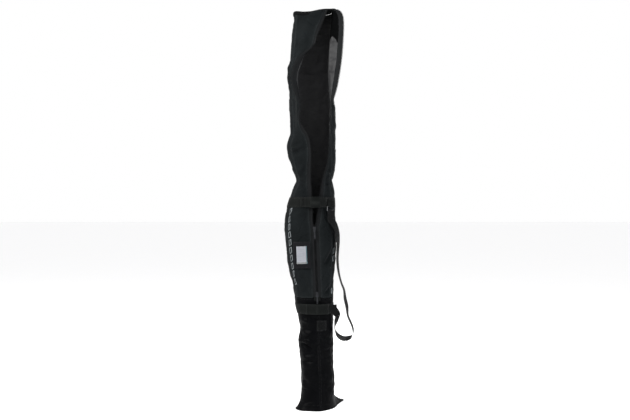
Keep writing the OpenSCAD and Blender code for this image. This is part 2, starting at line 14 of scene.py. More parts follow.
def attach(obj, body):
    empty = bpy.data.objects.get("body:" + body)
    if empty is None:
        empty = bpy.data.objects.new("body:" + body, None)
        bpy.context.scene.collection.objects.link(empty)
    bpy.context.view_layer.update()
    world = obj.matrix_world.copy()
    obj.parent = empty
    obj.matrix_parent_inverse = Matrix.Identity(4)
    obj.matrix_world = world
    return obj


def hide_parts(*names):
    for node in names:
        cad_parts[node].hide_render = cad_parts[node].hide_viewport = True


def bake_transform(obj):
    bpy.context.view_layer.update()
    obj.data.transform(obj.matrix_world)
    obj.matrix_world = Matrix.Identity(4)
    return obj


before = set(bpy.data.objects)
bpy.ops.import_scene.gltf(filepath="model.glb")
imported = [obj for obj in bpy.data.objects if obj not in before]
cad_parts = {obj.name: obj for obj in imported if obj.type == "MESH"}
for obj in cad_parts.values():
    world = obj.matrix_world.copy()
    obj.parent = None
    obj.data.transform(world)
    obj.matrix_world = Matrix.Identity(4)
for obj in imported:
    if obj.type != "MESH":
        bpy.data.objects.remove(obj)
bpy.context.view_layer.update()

MM = 0.001

# ---------------------------------------------------------------- the bag's surface, in mm
TOP_Z = 1894
OPEN_Z = 867
SEAM_Z = 530
FABRIC_T = 1.6
LINING_T = 0.8
SQUARENESS = 2.5
BACK_FROM, BACK_TO, SIDE_TO = 35, 145, 215
SIDES = ((-1, "left"), (1, "right"))
FLAP_FLOOR = 72  # least width of a front panel, so that strips keep to the edge where it doubles back


def stations(rows):
    table = np.array(rows, float)
    return table[:, 0], table[:, 1:]


LEFT_EDGE = stations([
    [0, -68], [90, -66], [240, -72], [321, -80], [380, -72], [434, -80], [490, -93], [567, -104],
    [700, -132], [864, -146], [960, -134], [1034, -110], [1086, -89], [1140, -108], [1247, -134],
    [1310, -119], [1440, -124], [1516, -124], [1584, -134], [1683, -119], [1827, -106], [1900, -102]])
RIGHT_EDGE = stations([
    [0, 90], [140, 94], [200, 90], [560, 88], [700, 97], [820, 101], [940, 97], [1034, 92],
    [1086, 82], [1150, 97], [1420, 98], [1490, 90], [1580, 84], [1700, 86], [1830, 98], [1900, 102]])
FRONT_EDGE = stations([
    [0, -78], [300, -76], [520, -80], [866, -82], [960, -81], [1086, -72], [1250, -79],
    [1400, -76], [1600, -74], [1900, -74]])
BACK_EDGE = stations([
    [0, 80], [300, 76], [600, 72], [866, 70], [960, 69], [1086, 58], [1250, 65], [1500, 62], [1900, 58]])
ZIP_FOOT = np.array([10.5, -79.4])
ZIP_HEAD = np.array([-3.0, -81.2])
LEFT_OPENING = stations([
    [867, -5.3, -81.2], [889, -10, -82], [960, -12, -81], [1100, -19, -73], [1240, -20, -88],
    [1300, -35, -100], [1360, -74, -114], [1440, -75, -118], [1560, -112, -124], [1660, -79, -112],
    [1700, -33, -100], [1725, -3, -94], [1765, 9, -88], [1830, 37, -82], [1896, 63, -76]])
RIGHT_OPENING = stations([
    [867, -0.7, -81.2], [889, 6, -82], [960, 15, -81], [1044, 27, -76], [1106, 38, -73],
    [1170, 57, -76], [1275, 67, -80], [1370, 70, -80], [1440, 79, -79], [1490, 95, -77],
    [1545, 108, -78], [1655, 125, -80], [1780, 134, -80], [1850, 133, -79], [1880, 121, -78],
    [1890, 104, -77], [1896, 77, -76]])
BASE_CENTRE = np.array([20.0, 20.0])
BASE_OUTLINE = stations([
    [-180, 100], [-168, 106], [-151, 128], [-132, 136], [-110, 122], [-90, 118], [-70, 102],
    [-35, 86], [7, 88], [30, 120], [45, 168], [62, 132], [82, 108], [110, 100], [148, 95], [180, 100]])


def along(rows, at):
    """Smooth curve through stations, with one column for each value."""
    key, val = rows
    at = np.asarray(at, float)
    i = np.clip(np.searchsorted(key, at, side="right") - 1, 0, len(key) - 2)
    lo = np.maximum(np.arange(len(key)) - 1, 0)
    hi = np.minimum(np.arange(len(key)) + 1, len(key) - 1)
    slope = (val[hi] - val[lo]) / (key[hi] - key[lo])[:, None]
    h = key[i + 1] - key[i]
    t = np.clip((at - key[i]) / h, 0, 1)[..., None]
    h = h[..., None]
    return (val[i] * (2 * t**3 - 3 * t**2 + 1) + slope[i] * h * (t**3 - 2 * t**2 + t)
            + val[i + 1] * (3 * t**2 - 2 * t**3) + slope[i + 1] * h * (t**3 - t**2))


def mix(a, b, t):
    return a + (b - a) * t


def ease(t):
    t = np.clip(t, 0, 1)
    return t * t * (3 - 2 * t)


def spow(v, e):
    return np.sign(v) * np.abs(v)**e


def half(a_rows, b_rows, z):
    a, b = along(a_rows, z)[..., 0], along(b_rows, z)[..., 0]
    return (a + b) / 2, (b - a) / 2


def loft(a, z):
    """The closed body: a is an angle in degrees, 0 right, 90 back, -90 front."""
    a, z = np.broadcast_arrays(np.asarray(a, float), np.asarray(z, float))
    cx, hw = half(LEFT_EDGE, RIGHT_EDGE, z)
    cy, hd = half(FRONT_EDGE, BACK_EDGE, z)
    c, s = np.cos(np.radians(a)), np.sin(np.radians(a))
    x, y = cx + hw * spow(c, 2 / SQUARENESS), cy + hd * spow(s, 2 / SQUARENESS)
    turn = np.where(a > 180, a - 360, np.where(a < -180, a + 360, a))
    r = along(BASE_OUTLINE, turn)[..., 0]
    f = (1 - np.minimum(1, z / 95))**2.2
    x = mix(x, BASE_CENTRE[0] + r * c, f)
    y = mix(y, BASE_CENTRE[1] + r * s, f)
    sag = (14 * np.exp(-((x + 40) / 55)**2) - 8 * np.exp(-((x - 100) / 32)**2)) * ease((z - 1790) / 100)
    return np.stack([x, y, z - sag], -1)


def front_angle(x, z):
    cx, hw = half(LEFT_EDGE, RIGHT_EDGE, z)
    return -np.degrees(np.arccos(spow(np.clip((x - cx) / hw, -1, 1), SQUARENESS / 2)))


def closed_zip(z):
    t = ((np.asarray(z, float) - SEAM_Z) / (OPEN_Z - SEAM_Z))[..., None]
    return mix(ZIP_FOOT, ZIP_HEAD, t)


def closed_x(z):
    z = np.asarray(z, float)
    return np.where(z <= OPEN_Z, closed_zip(z)[..., 0], mix(ZIP_HEAD[0], 68, ease((z - OPEN_Z) / 1030)))


def opening(side, z):
    z = np.asarray(z, float)
    shut = closed_zip(z) + np.array([2.3 * side, 0])
    return np.where((z <= OPEN_Z)[..., None], shut, along(LEFT_OPENING if side < 0 else RIGHT_OPENING, z))


def flap(side, s, z):
    """A point on a front panel: s is 0 at its side seam and 1 at its zip edge."""
    s, z = np.broadcast_arrays(np.asarray(s, float), np.asarray(z, float))
    start = SIDE_TO - 360 if side < 0 else -BACK_FROM
    shut = front_angle(closed_x(z), z)
    p, q, e = loft(mix(start, shut, s), z), loft(shut, z), opening(side, z)
    w = np.maximum(0, s)**1.7
    out = p.copy()
    out[..., :2] += w[..., None] * (e - q[..., :2])
    return out


def share(side, z, mm):
    """The s of the point that lies mm from a front panel's zip edge."""
    width = np.maximum(FLAP_FLOOR, np.linalg.norm(flap(side, 1, z) - flap(side, 0.8, z), axis=-1) / 0.2)
    return 1 - mm / width


# ---------------------------------------------------------------- grids and meshes
def normals(g, ring=False):
    if ring:
        du = np.roll(g, -1, 1) - np.roll(g, 1, 1)
    else:
        du = np.gradient(g, axis=1)
    n = np.cross(du, np.gradient(g, axis=0))
    return n / np.maximum(np.linalg.norm(n, axis=-1, keepdims=True), 1e-9)


def arc_lengths(g, axis):
    step = np.linalg.norm(np.diff(g, axis=axis), axis=-1)
    pad = [(1, 0) if k == axis else (0, 0) for k in range(2)]
    return np.pad(np.cumsum(step, axis=axis), pad)


def cloth_of(g):
    """Fabric coordinates in mm, across and along, and how near a point is to an edge."""
    u, v = arc_lengths(g, 1), arc_lengths(g, 0)
    edge = np.minimum(np.minimum(u, u[:, -1:] - u), np.minimum(v, v[-1:] - v))
    return np.stack([u, v, np.exp(-edge / 5)], -1)


def linked(name, data):
    ob = bpy.data.objects.new(name, data)
    bpy.context.scene.collection.objects.link(ob)
    return ob


def mesh_object(name, verts, faces, cloth=None, sharp=0):
    """A smooth mesh from points in mm. Edges over sharp degrees are left sharp."""
    mesh = bpy.data.meshes.new(name)
    mesh.from_pydata((np.asarray(verts) * MM).tolist(), [], [tuple(int(k) for k in f) for f in faces])
    if cloth is not None:
        mesh.attributes.new("cloth", "FLOAT_VECTOR", "POINT").data.foreach_set(
            "vector", np.asarray(cloth, np.float32).ravel())
    mesh.update()
    mesh.shade_smooth()
    if sharp:
        mesh.set_sharp_from_angle(angle=math.radians(sharp))
    return linked(name, mesh)


def solid(name, outer, inner, mask=None, ring=False, cloth=None):
    """A closed sheet between two grids. mask says which cells are kept."""
    n, m = outer.shape[:2]
    cells_m = m if ring else m - 1
    if mask is None:
        mask = np.ones((n - 1, cells_m), bool)
    if cloth is None:
        cloth = cloth_of(outer)
    i, j = np.nonzero(mask)
    k = (j + 1) % m
    a, b, c, d = i * m + j, i * m + k, (i + 1) * m + k, (i + 1) * m + j
    s = n * m
    faces = [np.stack([a, b, c, d], 1), np.stack([a + s, d + s, c + s, b + s], 1)]
    for di, dj, p, q in ((-1, 0, a, b), (1, 0, c, d), (0, 1, b, c), (0, -1, d, a)):
        ni, nj = i + di, j + dj
        if ring:
            nj = nj % m
        inside = (ni >= 0) & (ni < n - 1) & (nj >= 0) & (nj < cells_m)
        free = ~inside
        free[inside] = ~mask[ni[inside], nj[inside]]
        faces.append(np.stack([q, p, p + s, q + s], 1)[free])
    faces = np.concatenate(faces)
    verts = np.concatenate([outer.reshape(-1, 3), inner.reshape(-1, 3)])
    both = np.concatenate([cloth.reshape(-1, 3)] * 2)
    used = np.unique(faces)
    at = np.full(len(verts), -1)
    at[used] = np.arange(len(used))
    return mesh_object(name, verts[used], at[faces], both[used], sharp=50)


def skin(name, grid, lift, thick):
    """A closed sheet whose outer face stands lift mm off a grid."""
    n = normals(grid)
    return solid(name, grid + n * lift, grid + n * (lift - thick))


def resample(p, step):
    p = np.asarray(p, float)
    s = np.concatenate([[0], np.cumsum(np.linalg.norm(np.diff(p, axis=0), axis=1))])
    n = max(1, int(round(s[-1] / step)))
    at = np.linspace(0, s[-1], n + 1)
    return np.stack([np.interp(at, s, p[:, k]) for k in range(p.shape[1])], 1)


def spline(p, n):
    """Catmull-Rom through p, n points a span."""
    p = np.asarray(p, float)
    q = np.concatenate([[2 * p[0] - p[1]], p, [2 * p[-1] - p[-2]]])
    out = []
    for i in range(len(p) - 1):
        t = np.linspace(0, 1, n, endpoint=False)[:, None]
        a, b, c, d = q[i:i + 4]
        out.append(0.5 * (2 * b + (c - a) * t + (2 * a - 5 * b + 4 * c - d) * t**2
                          + (3 * b - a - 3 * c + d) * t**3))
    return np.concatenate(out + [p[-1:]])


STITCH_PITCH, STITCH_LENGTH, STITCH_WIDTH, STITCH_HEIGHT, STITCH_SINK = 4.4, 3.2, 0.55, 0.34, 0.12


def stitches(name, lines):
    """Rows of raised stitches. lines holds (points, normals) pairs in mm."""
    verts, faces = [], []
    ring = 6
    for p, n in lines:
        p, n = np.asarray(p, float), np.asarray(n, float)
        both = resample(np.concatenate([p, n], 1), STITCH_PITCH)
        for q in range(len(both) - 1):
            a, b = both[q, :3], both[q + 1, :3]
            if np.linalg.norm(b - a) < STITCH_PITCH * 0.5:
                continue
            up = both[q, 3:]
            d = (b - a) / np.linalg.norm(b - a)
            side = np.cross(d, up)
            side /= max(np.linalg.norm(side), 1e-9)
            start = len(verts)
            verts.append(a - up * STITCH_SINK)
            for k in range(ring):
                ang = 2 * math.pi * k / ring
                verts.append(a + d * STITCH_LENGTH / 2 + side * STITCH_WIDTH / 2 * math.cos(ang)
                             + up * STITCH_HEIGHT * (0.35 + math.sin(ang) * 0.65))
            verts.append(a + d * STITCH_LENGTH - up * STITCH_SINK)
            for k in range(ring):
                k1 = (k + 1) % ring
                faces.append((start, start + 1 + k, start + 1 + k1))
                faces.append((start + ring + 1, start + 1 + k1, start + 1 + k))
    return mesh_object(name, np.array(verts), faces, np.zeros((len(verts), 3)))


def tube(p, radius, closed=False, n=12):
    """Verts and faces of a round bar along points p."""
    p = np.asarray(p, float)
    m = len(p)
    tan = np.roll(p, -1, 0) - np.roll(p, 1, 0)
    if not closed:
        tan[0], tan[-1] = p[1] - p[0], p[-1] - p[-2]
    tan /= np.linalg.norm(tan, axis=1, keepdims=True)
    ref = np.array([0.123, 0.456, 0.881])
    up = np.cross(tan[0], ref)
    up /= np.linalg.norm(up)
    verts = []
    for i in range(m):
        up = up - tan[i] * np.dot(up, tan[i])
        up /= np.linalg.norm(up)
        side = np.cross(tan[i], up)
        for k in range(n):
            t = 2 * math.pi * k / n
            verts.append(p[i] + radius * (up * math.cos(t) + side * math.sin(t)))
    faces = []
    for i in range(m if closed else m - 1):
        j = (i + 1) % m
        for k in range(n):
            k1 = (k + 1) % n
            faces.append((i * n + k, i * n + k1, j * n + k1, j * n + k))
    if not closed:
        faces.append(tuple(range(n - 1, -1, -1)))
        faces.append(tuple((m - 1) * n + k for k in range(n)))
    return np.array(verts), faces


def ribbon(name, p, width_dirs, width, thick, across, bulge=0.0):
    """Webbing along points p with rounded edges: a closed section swept along the path."""
    p, w = np.asarray(p, float), np.asarray(width_dirs, float)
    tan = np.gradient(p, axis=0)
    tan /= np.linalg.norm(tan, axis=1, keepdims=True)
    w = w - tan * np.sum(w * tan, 1, keepdims=True)
    w /= np.linalg.norm(w, axis=1, keepdims=True)
    n = np.cross(tan, w)
    section = [(-1 + 2 * k / across, 1) for k in range(across + 1)]
    section += [(1 - 2 * k / across, -1) for k in range(across + 1)]
    rings, cloth = [], []
    s = np.concatenate([[0], np.cumsum(np.linalg.norm(np.diff(p, axis=0), axis=1))])
    for x, side in section:
        edge = 1 - max(0, (abs(x) - 0.93) / 0.07) * 0.6
        rings.append(p + w * (x * width / 2) + n * (side * thick / 2 * edge + bulge * (1 - x * x)))
        near_edge = math.exp(-(1 - abs(x)) * width / 2 / 2.5)
        cloth.append(np.stack([np.full(len(p), (x + 1) * width / 2), s, np.full(len(p), near_edge)], 1))
    rings, cloth = np.stack(rings, 1), np.stack(cloth, 1)
    m = len(section)
    i, j = np.meshgrid(np.arange(len(p) - 1), np.arange(m), indexing="ij")
    k = (j + 1) % m
    faces = np.stack([i * m + j, i * m + k, (i + 1) * m + k, (i + 1) * m + j], -1).reshape(-1, 4)
    caps = []
    for row, order in ((0, 1), (len(p) - 1, -1)):
        for c in range(across):
            a, b = row * m + c, row * m + c + 1
            d, e = row * m + 2 * across + 1 - c, row * m + 2 * across - c
            caps.append((a, b, e, d)[::order])
    faces = [tuple(f) for f in faces[:, ::-1]] + caps
    return mesh_object(name, rings.reshape(-1, 3), faces, cloth.reshape(-1, 3), sharp=55)


def waves(x, y, seed, length):
    """Smooth seeded undulation between about -1 and 1."""
    count = 9
    rng = np.random.default_rng(seed)
    out = 0
    for _ in range(count):
        ang, ph = rng.uniform(0, 2 * math.pi, 2)
        k = 2 * math.pi / (length * rng.uniform(0.7, 1.5))
        out = out + np.sin(k * (np.cos(ang) * x + np.sin(ang) * y) + ph)
    return out / count**0.5 / 1.4


def folds(x, z, rows):
    """Ridges and valleys along lines: x0, z0, x1, z1, width, height."""
    out = np.zeros(np.broadcast(x, z).shape)
    for x0, z0, x1, z1, w, h in rows:
        dx, dz = x1 - x0, z1 - z0
        t = ((x - x0) * dx + (z - z0) * dz) / (dx * dx + dz * dz)
        tc = np.clip(t, 0, 1)
        d = np.hypot(x - x0 - tc * dx, z - z0 - tc * dz)
        out += h * np.exp(-(d / w)**2) * (1 - 0.75 * np.abs(2 * tc - 1)**3)
    return out


# ---------------------------------------------------------------- materials
class Graph:
    """A small helper for node materials."""

    def __init__(self, name):
        self.mat = bpy.data.materials.new(name)
        self.mat.use_nodes = True
        self.tree = self.mat.node_tree
        self.tree.nodes.clear()
        self.out = self.tree.nodes.new("ShaderNodeOutputMaterial")

    def add(self, kind, ins=None, **props):
        n = self.tree.nodes.new(kind)
        for k, v in props.items():
            setattr(n, k, v)
        for k, v in (ins or {}).items():
            if isinstance(v, bpy.types.NodeSocket):
                self.tree.links.new(v, n.inputs[k])
            else:
                n.inputs[k].default_value = v
        return n

    def math(self, op, a, b=0.0, clamp=False):
        return self.add("ShaderNodeMath", {0: a, 1: b}, operation=op, use_clamp=clamp).outputs[0]

    def ramp(self, fac, low, high):
        """Black up to low, and white from high."""
        n = self.add("ShaderNodeValToRGB", {"Fac": fac})
        for e, at, c in zip(n.color_ramp.elements, (low, high), (0, 1)):
            e.position = at
            e.color = (c, c, c, 1)
        return n.outputs["Color"]

    def noise(self, scale, detail=3.0, rough=0.55, vec=None):
        vec = vec if vec is not None else self.add("ShaderNodeTexCoord").outputs["Object"]
        return self.add("ShaderNodeTexNoise", {"Vector": vec, "Scale": scale, "Detail": detail,
                                               "Roughness": rough}).outputs["Fac"]

    def blend(self, fac, a, b):
        n = self.add("ShaderNodeMix", data_type="RGBA")
        for k, v in ((0, fac), (6, a), (7, b)):
            if isinstance(v, bpy.types.NodeSocket):
                self.tree.links.new(v, n.inputs[k])
            else:
                n.inputs[k].default_value = (*v, 1) if k else v
        return n.outputs[2]

    def cloth(self):
        sep = self.add("ShaderNodeSeparateXYZ", {0: self.add(
            "ShaderNodeAttribute", attribute_name="cloth").outputs["Vector"]})
        return sep.outputs

    def done(self, ins, bump):
        p = self.add("ShaderNodeBsdfPrincipled", {**ins, "Normal": bump})
        self.tree.links.new(p.outputs[0], self.out.inputs["Surface"])
        return self.mat

    def bump(self, height, strength, dist, normal=None):
        ins = {"Height": height, "Strength": strength, "Distance": dist}
        if normal is not None:
            ins["Normal"] = normal
        return self.add("ShaderNodeBump", ins).outputs[0]


def woven(name, base, light, rough, sheen, spec, yarn=0.9, weave=0.35, wear=0.5, rib=None, scale=9.0):
    """Woven cloth. yarn is the thread pitch in mm; rib turns it into ribbed webbing."""
    g = Graph(name)
    u, v, edge = g.cloth()[:3]
    if rib:
        across = g.math("SINE", g.math("MULTIPLY", u, 2 * math.pi / rib))
        pick = g.math("MULTIPLY", v, 2 * math.pi / yarn)
        fine = g.math("SINE", g.math("ADD", pick, g.math("MULTIPLY", across, 1.6)))
        thread = g.math("ADD", g.math("MULTIPLY", across, 0.6), g.math("MULTIPLY", fine, 0.4))
    else:
        a = g.math("SINE", g.math("MULTIPLY", u, 2 * math.pi / yarn))
        b = g.math("SINE", g.math("MULTIPLY", v, 2 * math.pi / yarn))
        thread = g.math("MULTIPLY", a, b)
    height = g.math("ADD", g.math("MULTIPLY", thread, 0.5), 0.5)
    cloud = g.noise(scale, 5, 0.6)
    grain = g.noise(420, 2, 0.6)
    tint = g.blend(g.ramp(cloud, 0.3, 0.72), base, light)
    rubbed = g.math("MULTIPLY", edge, g.math("MULTIPLY", g.noise(60, 4, 0.7), wear))
    tint = g.blend(rubbed, tint, tuple(min(1, c * 2.2 + 0.012) for c in light))
    # Low threads of the weave are darkened: painted shade in the weave's hollows, mixed with random grain
    # tone.
    hollow_shade_and_grain = g.math("ADD", g.math("MULTIPLY", height, 0.42), g.math("MULTIPLY", grain, 0.36))
    tint = g.blend(g.math("SUBTRACT", 0.72, hollow_shade_and_grain, True), tint, tuple(c * 0.35 for c in base))
    r = g.math("ADD", rough - 0.1, g.math("MULTIPLY", g.noise(30, 4, 0.6), 0.2))
    low = g.bump(g.noise(55, 4, 0.55), 0.25, 0.0012)
    nrm = g.bump(height, weave, 0.0002, low)
    return g.done({"Base Color": tint, "Roughness": r, "Sheen Weight": sheen, "Sheen Roughness": 0.45,
                   "Specular IOR Level": spec}, nrm)


def plastic(name, base, rough, spec):
    g = Graph(name)
    n = g.noise(260, 4, 0.6)
    tint = g.blend(g.ramp(g.noise(35, 4), 0.35, 0.7), base, tuple(c * 1.5 + 0.004 for c in base))
    r = g.math("ADD", rough, g.math("MULTIPLY", n, 0.15))
    return g.done({"Base Color": tint, "Roughness": r, "Specular IOR Level": spec}, g.bump(n, 0.12, 0.0003))


def metal(name, base, rough):
    g = Graph(name)
    coord = g.add("ShaderNodeTexCoord").outputs["Object"]
    stretch = g.add("ShaderNodeMapping", {"Vector": coord, "Scale": (1, 1, 0.12)}).outputs[0]
    n = g.noise(900, 4, 0.7, stretch)
    worn = g.noise(90, 5, 0.7)
    tint = g.blend(g.ramp(worn, 0.42, 0.75), base, tuple(c * 0.55 for c in base))
    r = g.math("ADD", rough, g.math("MULTIPLY", worn, 0.28))
    return g.done({"Base Color": tint, "Roughness": r, "Metallic": 1.0}, g.bump(n, 0.15, 0.0002))


def film(name):
    g = Graph(name)
    n = g.noise(26, 3, 0.5)
    rippled = g.bump(n, 0.35, 0.002)
    gloss = g.add("ShaderNodeBsdfGlossy", {"Color": (1, 1, 1, 1), "Roughness": 0.08, "Normal": rippled})
    clear = g.add("ShaderNodeBsdfTransparent", {"Color": (0.985, 0.99, 1.0, 1)})
    fac = g.add("ShaderNodeFresnel", {"IOR": 1.45}).outputs[0]
    m = g.add("ShaderNodeMixShader", {0: fac, 1: clear.outputs[0], 2: gloss.outputs[0]})
    g.tree.links.new(m.outputs[0], g.out.inputs["Surface"])
    return g.mat


def flat_tone(name, base, rough=0.6, scale=40, vary=0.1):
    g = Graph(name)
    n = g.noise(scale, 4, 0.6)
    tint = g.blend(n, tuple(c * (1 - vary) for c in base), tuple(min(1, c * (1 + vary)) for c in base))
    r = g.math("ADD", rough - 0.08, g.math("MULTIPLY", n, 0.16))
    return g.done({"Base Color": tint, "Roughness": r}, g.bump(g.noise(700, 3), 0.08, 0.0002))


# The three numbers after the two tones of a cloth are its roughness, sheen and specular level.
LOOK = {
    "shell_fabric": woven("shell cloth", (0.0037, 0.0046, 0.005), (0.0073, 0.0089, 0.0096),
                          0.75, 0.02, 0.025),
    "foot_fabric": woven("foot cloth", (0.0009, 0.001, 0.0013), (0.0019, 0.002, 0.0025), 0.45, 0.005, 0.02,
                         yarn=1.2, weave=0.3, wear=0.2, scale=14),
    "lining_fabric": woven("lining cloth", (0.0175, 0.0178, 0.0188), (0.0265, 0.027, 0.0282), 0.5, 0.03, 0.08,
                           yarn=0.5, weave=0.15, scale=12),
    # Near-black cloth for the sheet that paints the shade inside the top end.
    "painted_shade": woven("facing cloth", (0.0009, 0.001, 0.0011), (0.0017, 0.0019, 0.002), 0.7, 0.0, 0.01,
                    wear=0.1),
    "binding": woven("binding tape", (0.0015, 0.0015, 0.0018), (0.003, 0.003, 0.0034), 0.7, 0.01, 0.03,
                     rib=1.6, yarn=1.0, wear=0.2),
    "webbing": woven("webbing", (0.0026, 0.0031, 0.003), (0.0047, 0.0055, 0.0051), 0.6, 0.02, 0.04,
                     rib=3.0, yarn=1.7, weave=0.8),
    "patch": woven("patch webbing", (0.0014, 0.0016, 0.0018), (0.0028, 0.003, 0.0032), 0.55, 0.01, 0.04,
                   rib=3.0, yarn=1.7, weave=0.8, wear=0.4),
    "strap_webbing": woven("strap webbing", (0.0015, 0.0016, 0.0017), (0.0038, 0.004, 0.0042),
                           0.55, 0.01, 0.05, rib=2.6, yarn=1.5, weave=0.8, wear=0.6),
    "wrap_fabric": woven("wrap cloth", (0.0028, 0.0033, 0.0031), (0.0054, 0.0062, 0.0059), 0.8, 0.03, 0.03,
                         yarn=1.4),
    "zip_tape": woven("zip tape", (0.0036, 0.004, 0.0044), (0.0065, 0.0072, 0.0078), 0.65, 0.02, 0.05,
                      yarn=0.8, rib=1.2),
    "zip_coil": plastic("coil", (0.0012, 0.0013, 0.0016), 0.45, 0.08),
    "slider_metal": metal("slider metal", (0.032, 0.033, 0.036), 0.45),
    "ring_steel": metal("ring metal", (0.1, 0.1, 0.104), 0.4),
    "pocket_fabric": woven("pocket cloth", (0.0034, 0.0033, 0.0042), (0.006, 0.0059, 0.0072), 0.5, 0.01, 0.05,
                           yarn=0.8),
    "window_film": film("window film"),
    "card": flat_tone("card paper", (0.5, 0.505, 0.53), vary=0.02),
    "ledge": flat_tone("card ledge", (0.12, 0.126, 0.126)),
    "card_stripe": flat_tone("card stripe", (0.045, 0.16, 0.19)),
    "thread": flat_tone("thread", (0.006, 0.0065, 0.007), 0.7),
    "print": flat_tone("print", (0.125, 0.138, 0.145)),
    "card_ink": flat_tone("card ink", (0.33, 0.35, 0.4)),
}


# ---------------------------------------------------------------- camera and light
AIM = (0, 0, 0.9)
FLOOR_HALF, FLOOR_Z = 60000, -0.4


def camera_and_light():
    cam_data = bpy.data.cameras.new("camera")
    cam_data.lens = 46.3
    cam_data.sensor_width = 36
    cam = linked("camera", cam_data)
    cam.location = (0, -3.9, 0.9455)
    cam.rotation_euler = (math.radians(90), 0, 0)
    bpy.context.scene.camera = cam
    bpy.context.scene.view_settings.view_transform = "Standard"
    for name, loc, size, power, tone in (
            ("key", (-2.3, -1.9, 2.9), 0.9, 190, (1.0, 0.99, 0.97)),
            ("fill", (2.4, -1.6, 1.4), 1.2, 46, (0.94, 0.97, 1.0)),
            ("rim", (1.5, 2.4, 2.6), 1.8, 110, (1.0, 1.0, 1.0))):
        data = bpy.data.lights.new(name, "AREA")
        data.size = size
        data.energy = power
        data.color = tone
        ob = linked(name, data)
        ob.location = loc
        ob.rotation_euler = (Vector(AIM) - Vector(loc)).to_track_quat("-Z", "Y").to_euler()
    world = bpy.data.worlds.new("studio")
    world.use_nodes = True
    background = world.node_tree.nodes["Background"]
    background.inputs[0].default_value = (1, 1, 1, 1)
    background.inputs[1].default_value = 1.0
    bpy.context.scene.world = world
    corners = [(x * FLOOR_HALF, y * FLOOR_HALF, FLOOR_Z) for x, y in ((-1, -1), (1, -1), (1, 1), (-1, 1))]
    floor = mesh_object("floor", corners, [(0, 1, 2, 3)])
    floor.data.materials.append(flat_tone("pale floor", (0.95, 0.95, 0.955), 0.8, 3, 0.012))


camera_and_light()

# ---------------------------------------------------------------- relief of the fabric, in mm
FRONT_FOLDS = [
    (-128, 1226, -58, 1248, 9, 5), (-122, 1204, -66, 1222, 10, -3), (-85, 1082, -44, 1070, 12, -5),
    (-88, 1092, -52, 1160, 13, 5), (-82, 1066, -50, 1030, 12, 4), (-110, 1150, -72, 1118, 12, 3),
    (-126, 905, -60, 935, 18, 3), (-70, 640, -22, 575, 14, -4), (-110, 650, -60, 585, 15, 3),
    (-40, 620, -12, 560, 8, 3),
    (86, 806, 34, 700, 13, 7), (92, 768, 46, 686, 9, -5), (96, 700, 66, 655, 10, 4),
    (84, 618, 26, 556, 11, 5), (88, 594, 44, 548, 8, -4), (26, 640, -2, 562, 7, -3),
    (30, 900, 44, 760, 22, 5), (80, 1098, 50, 1126, 10, 5), (80, 1084, 46, 1062, 9, -4),
    (82, 1110, 60, 1150, 10, -3),
    (-96, 1880, -60, 1800, 20, -3), (-20, 1850, 20, 1890, 22, 3), (-112, 1740, -40, 1770, 26, 3)]
FOOT_FOLDS = [
    (-80, 326, 10, 312, 9, 6), (-62, 318, -12, 280, 8, -6), (12, 322, 17, 178, 6, -6),
    (16, 200, 18, 84, 4, -2), (-52, 262, 12, 268, 7, -2.5), (-56, 246, 10, 250, 7, 2.5),
    (-50, 226, 14, 232, 6, -2.5), (-48, 200, 8, 208, 8, 2), (24, 266, 86, 246, 12, -4),
    (26, 240, 84, 214, 10, 3.5), (20, 290, 84, 300, 10, 3), (-58, 368, 2, 352, 9, 3),
    (4, 352, 70, 336, 8, -3), (-60, 130, 6, 116, 12, -2.5), (24, 160, 84, 140, 14, 3),
    (-30, 440, 60, 430, 9, -2), (-66, 430, -20, 412, 10, 3), (24, 110, 86, 92, 12, -3)]
# Folds across the sides and back: height on the bag, half width, depth.
SIDE_FOLDS = [(1086, 16, -3), (1108, 12, 3), (1062, 12, 3), (321, 9, 3), (300, 8, -3), (560, 14, 3),
              (600, 16, -2), (430, 10, 3), (1210, 16, 2.5), (905, 14, 2), (1340, 18, 2.5), (1560, 15, -2.5),
              (1620, 14, 3), (700, 16, 2.5), (210, 11, -2), (140, 12, 2.5)]
UPPER_Z, LOWER_Z = 982, 478
BIG_WAVE, MID_WAVE, SMALL_WAVE, CREASE, FOLD_GAIN, PUCKER = 2.1, 1.3, 0.55, 2.2, 1.9, 0.4


def pressed(z):
    """0 under the two bands, rising to 1 away from them."""
    near = np.minimum(np.abs(z - UPPER_Z), np.abs(z - LOWER_Z))
    return ease((near - 25) / 26)


def relief(g, front):
    """How far the cloth stands in or out of the smooth body, in mm."""
    x, y, z = g[..., 0], g[..., 1], g[..., 2]
    ang = np.degrees(np.arctan2(y, x))
    out = BIG_WAVE * waves(x + y * 0.6, z * 0.62, 11, 120) + MID_WAVE * waves(x - y, z * 0.8, 12, 46)
    out = out + SMALL_WAVE * waves(x + y, z, 14, 24)
    crease = np.abs(waves(x * 1.2 + y, z * 0.9, 13, 95))
    out = out - CREASE * np.exp(-(crease / 0.1)**2)
    if front:
        out = out + FOLD_GAIN * folds(x, z, FOOT_FOLDS if z.mean() < SEAM_Z else FRONT_FOLDS)
    else:
        for at, w, h in SIDE_FOLDS:
            zz = z + 9 * np.sin(np.radians(ang * 2 + at)) + 5 * np.sin(np.radians(ang * 5))
            strength = 0.55 + 0.45 * np.sin(np.radians(ang * 3 + at * 1.7))
            out = out + h * np.exp(-((zz - at) / w)**2) * strength
    return out * pressed(z)


def to_edge(g):
    u = arc_lengths(g, 1)
    return np.minimum(u, u[:, -1:] - u)


def edge_dip(g, depth, width):
    """A seam's groove and its puckers along the two long edges of a panel."""
    d, z = to_edge(g), g[..., 2]
    wave = np.sin(z / 4.1 + 2 * np.sin(z / 23)) * np.exp(-((d - 6) / 6)**2)
    return -depth * np.exp(-(d / width)**2) + PUCKER * wave


def clothed(grid, front, low=1.0, dip=1.1, width=3.0):
    """The outer face of a panel: its relief fades out at its seams."""
    d = relief(grid, front) * (1 - np.exp(-(to_edge(grid) / 9)**2)) + edge_dip(grid, dip, width)
    return grid + normals(grid) * (d * low)[..., None]


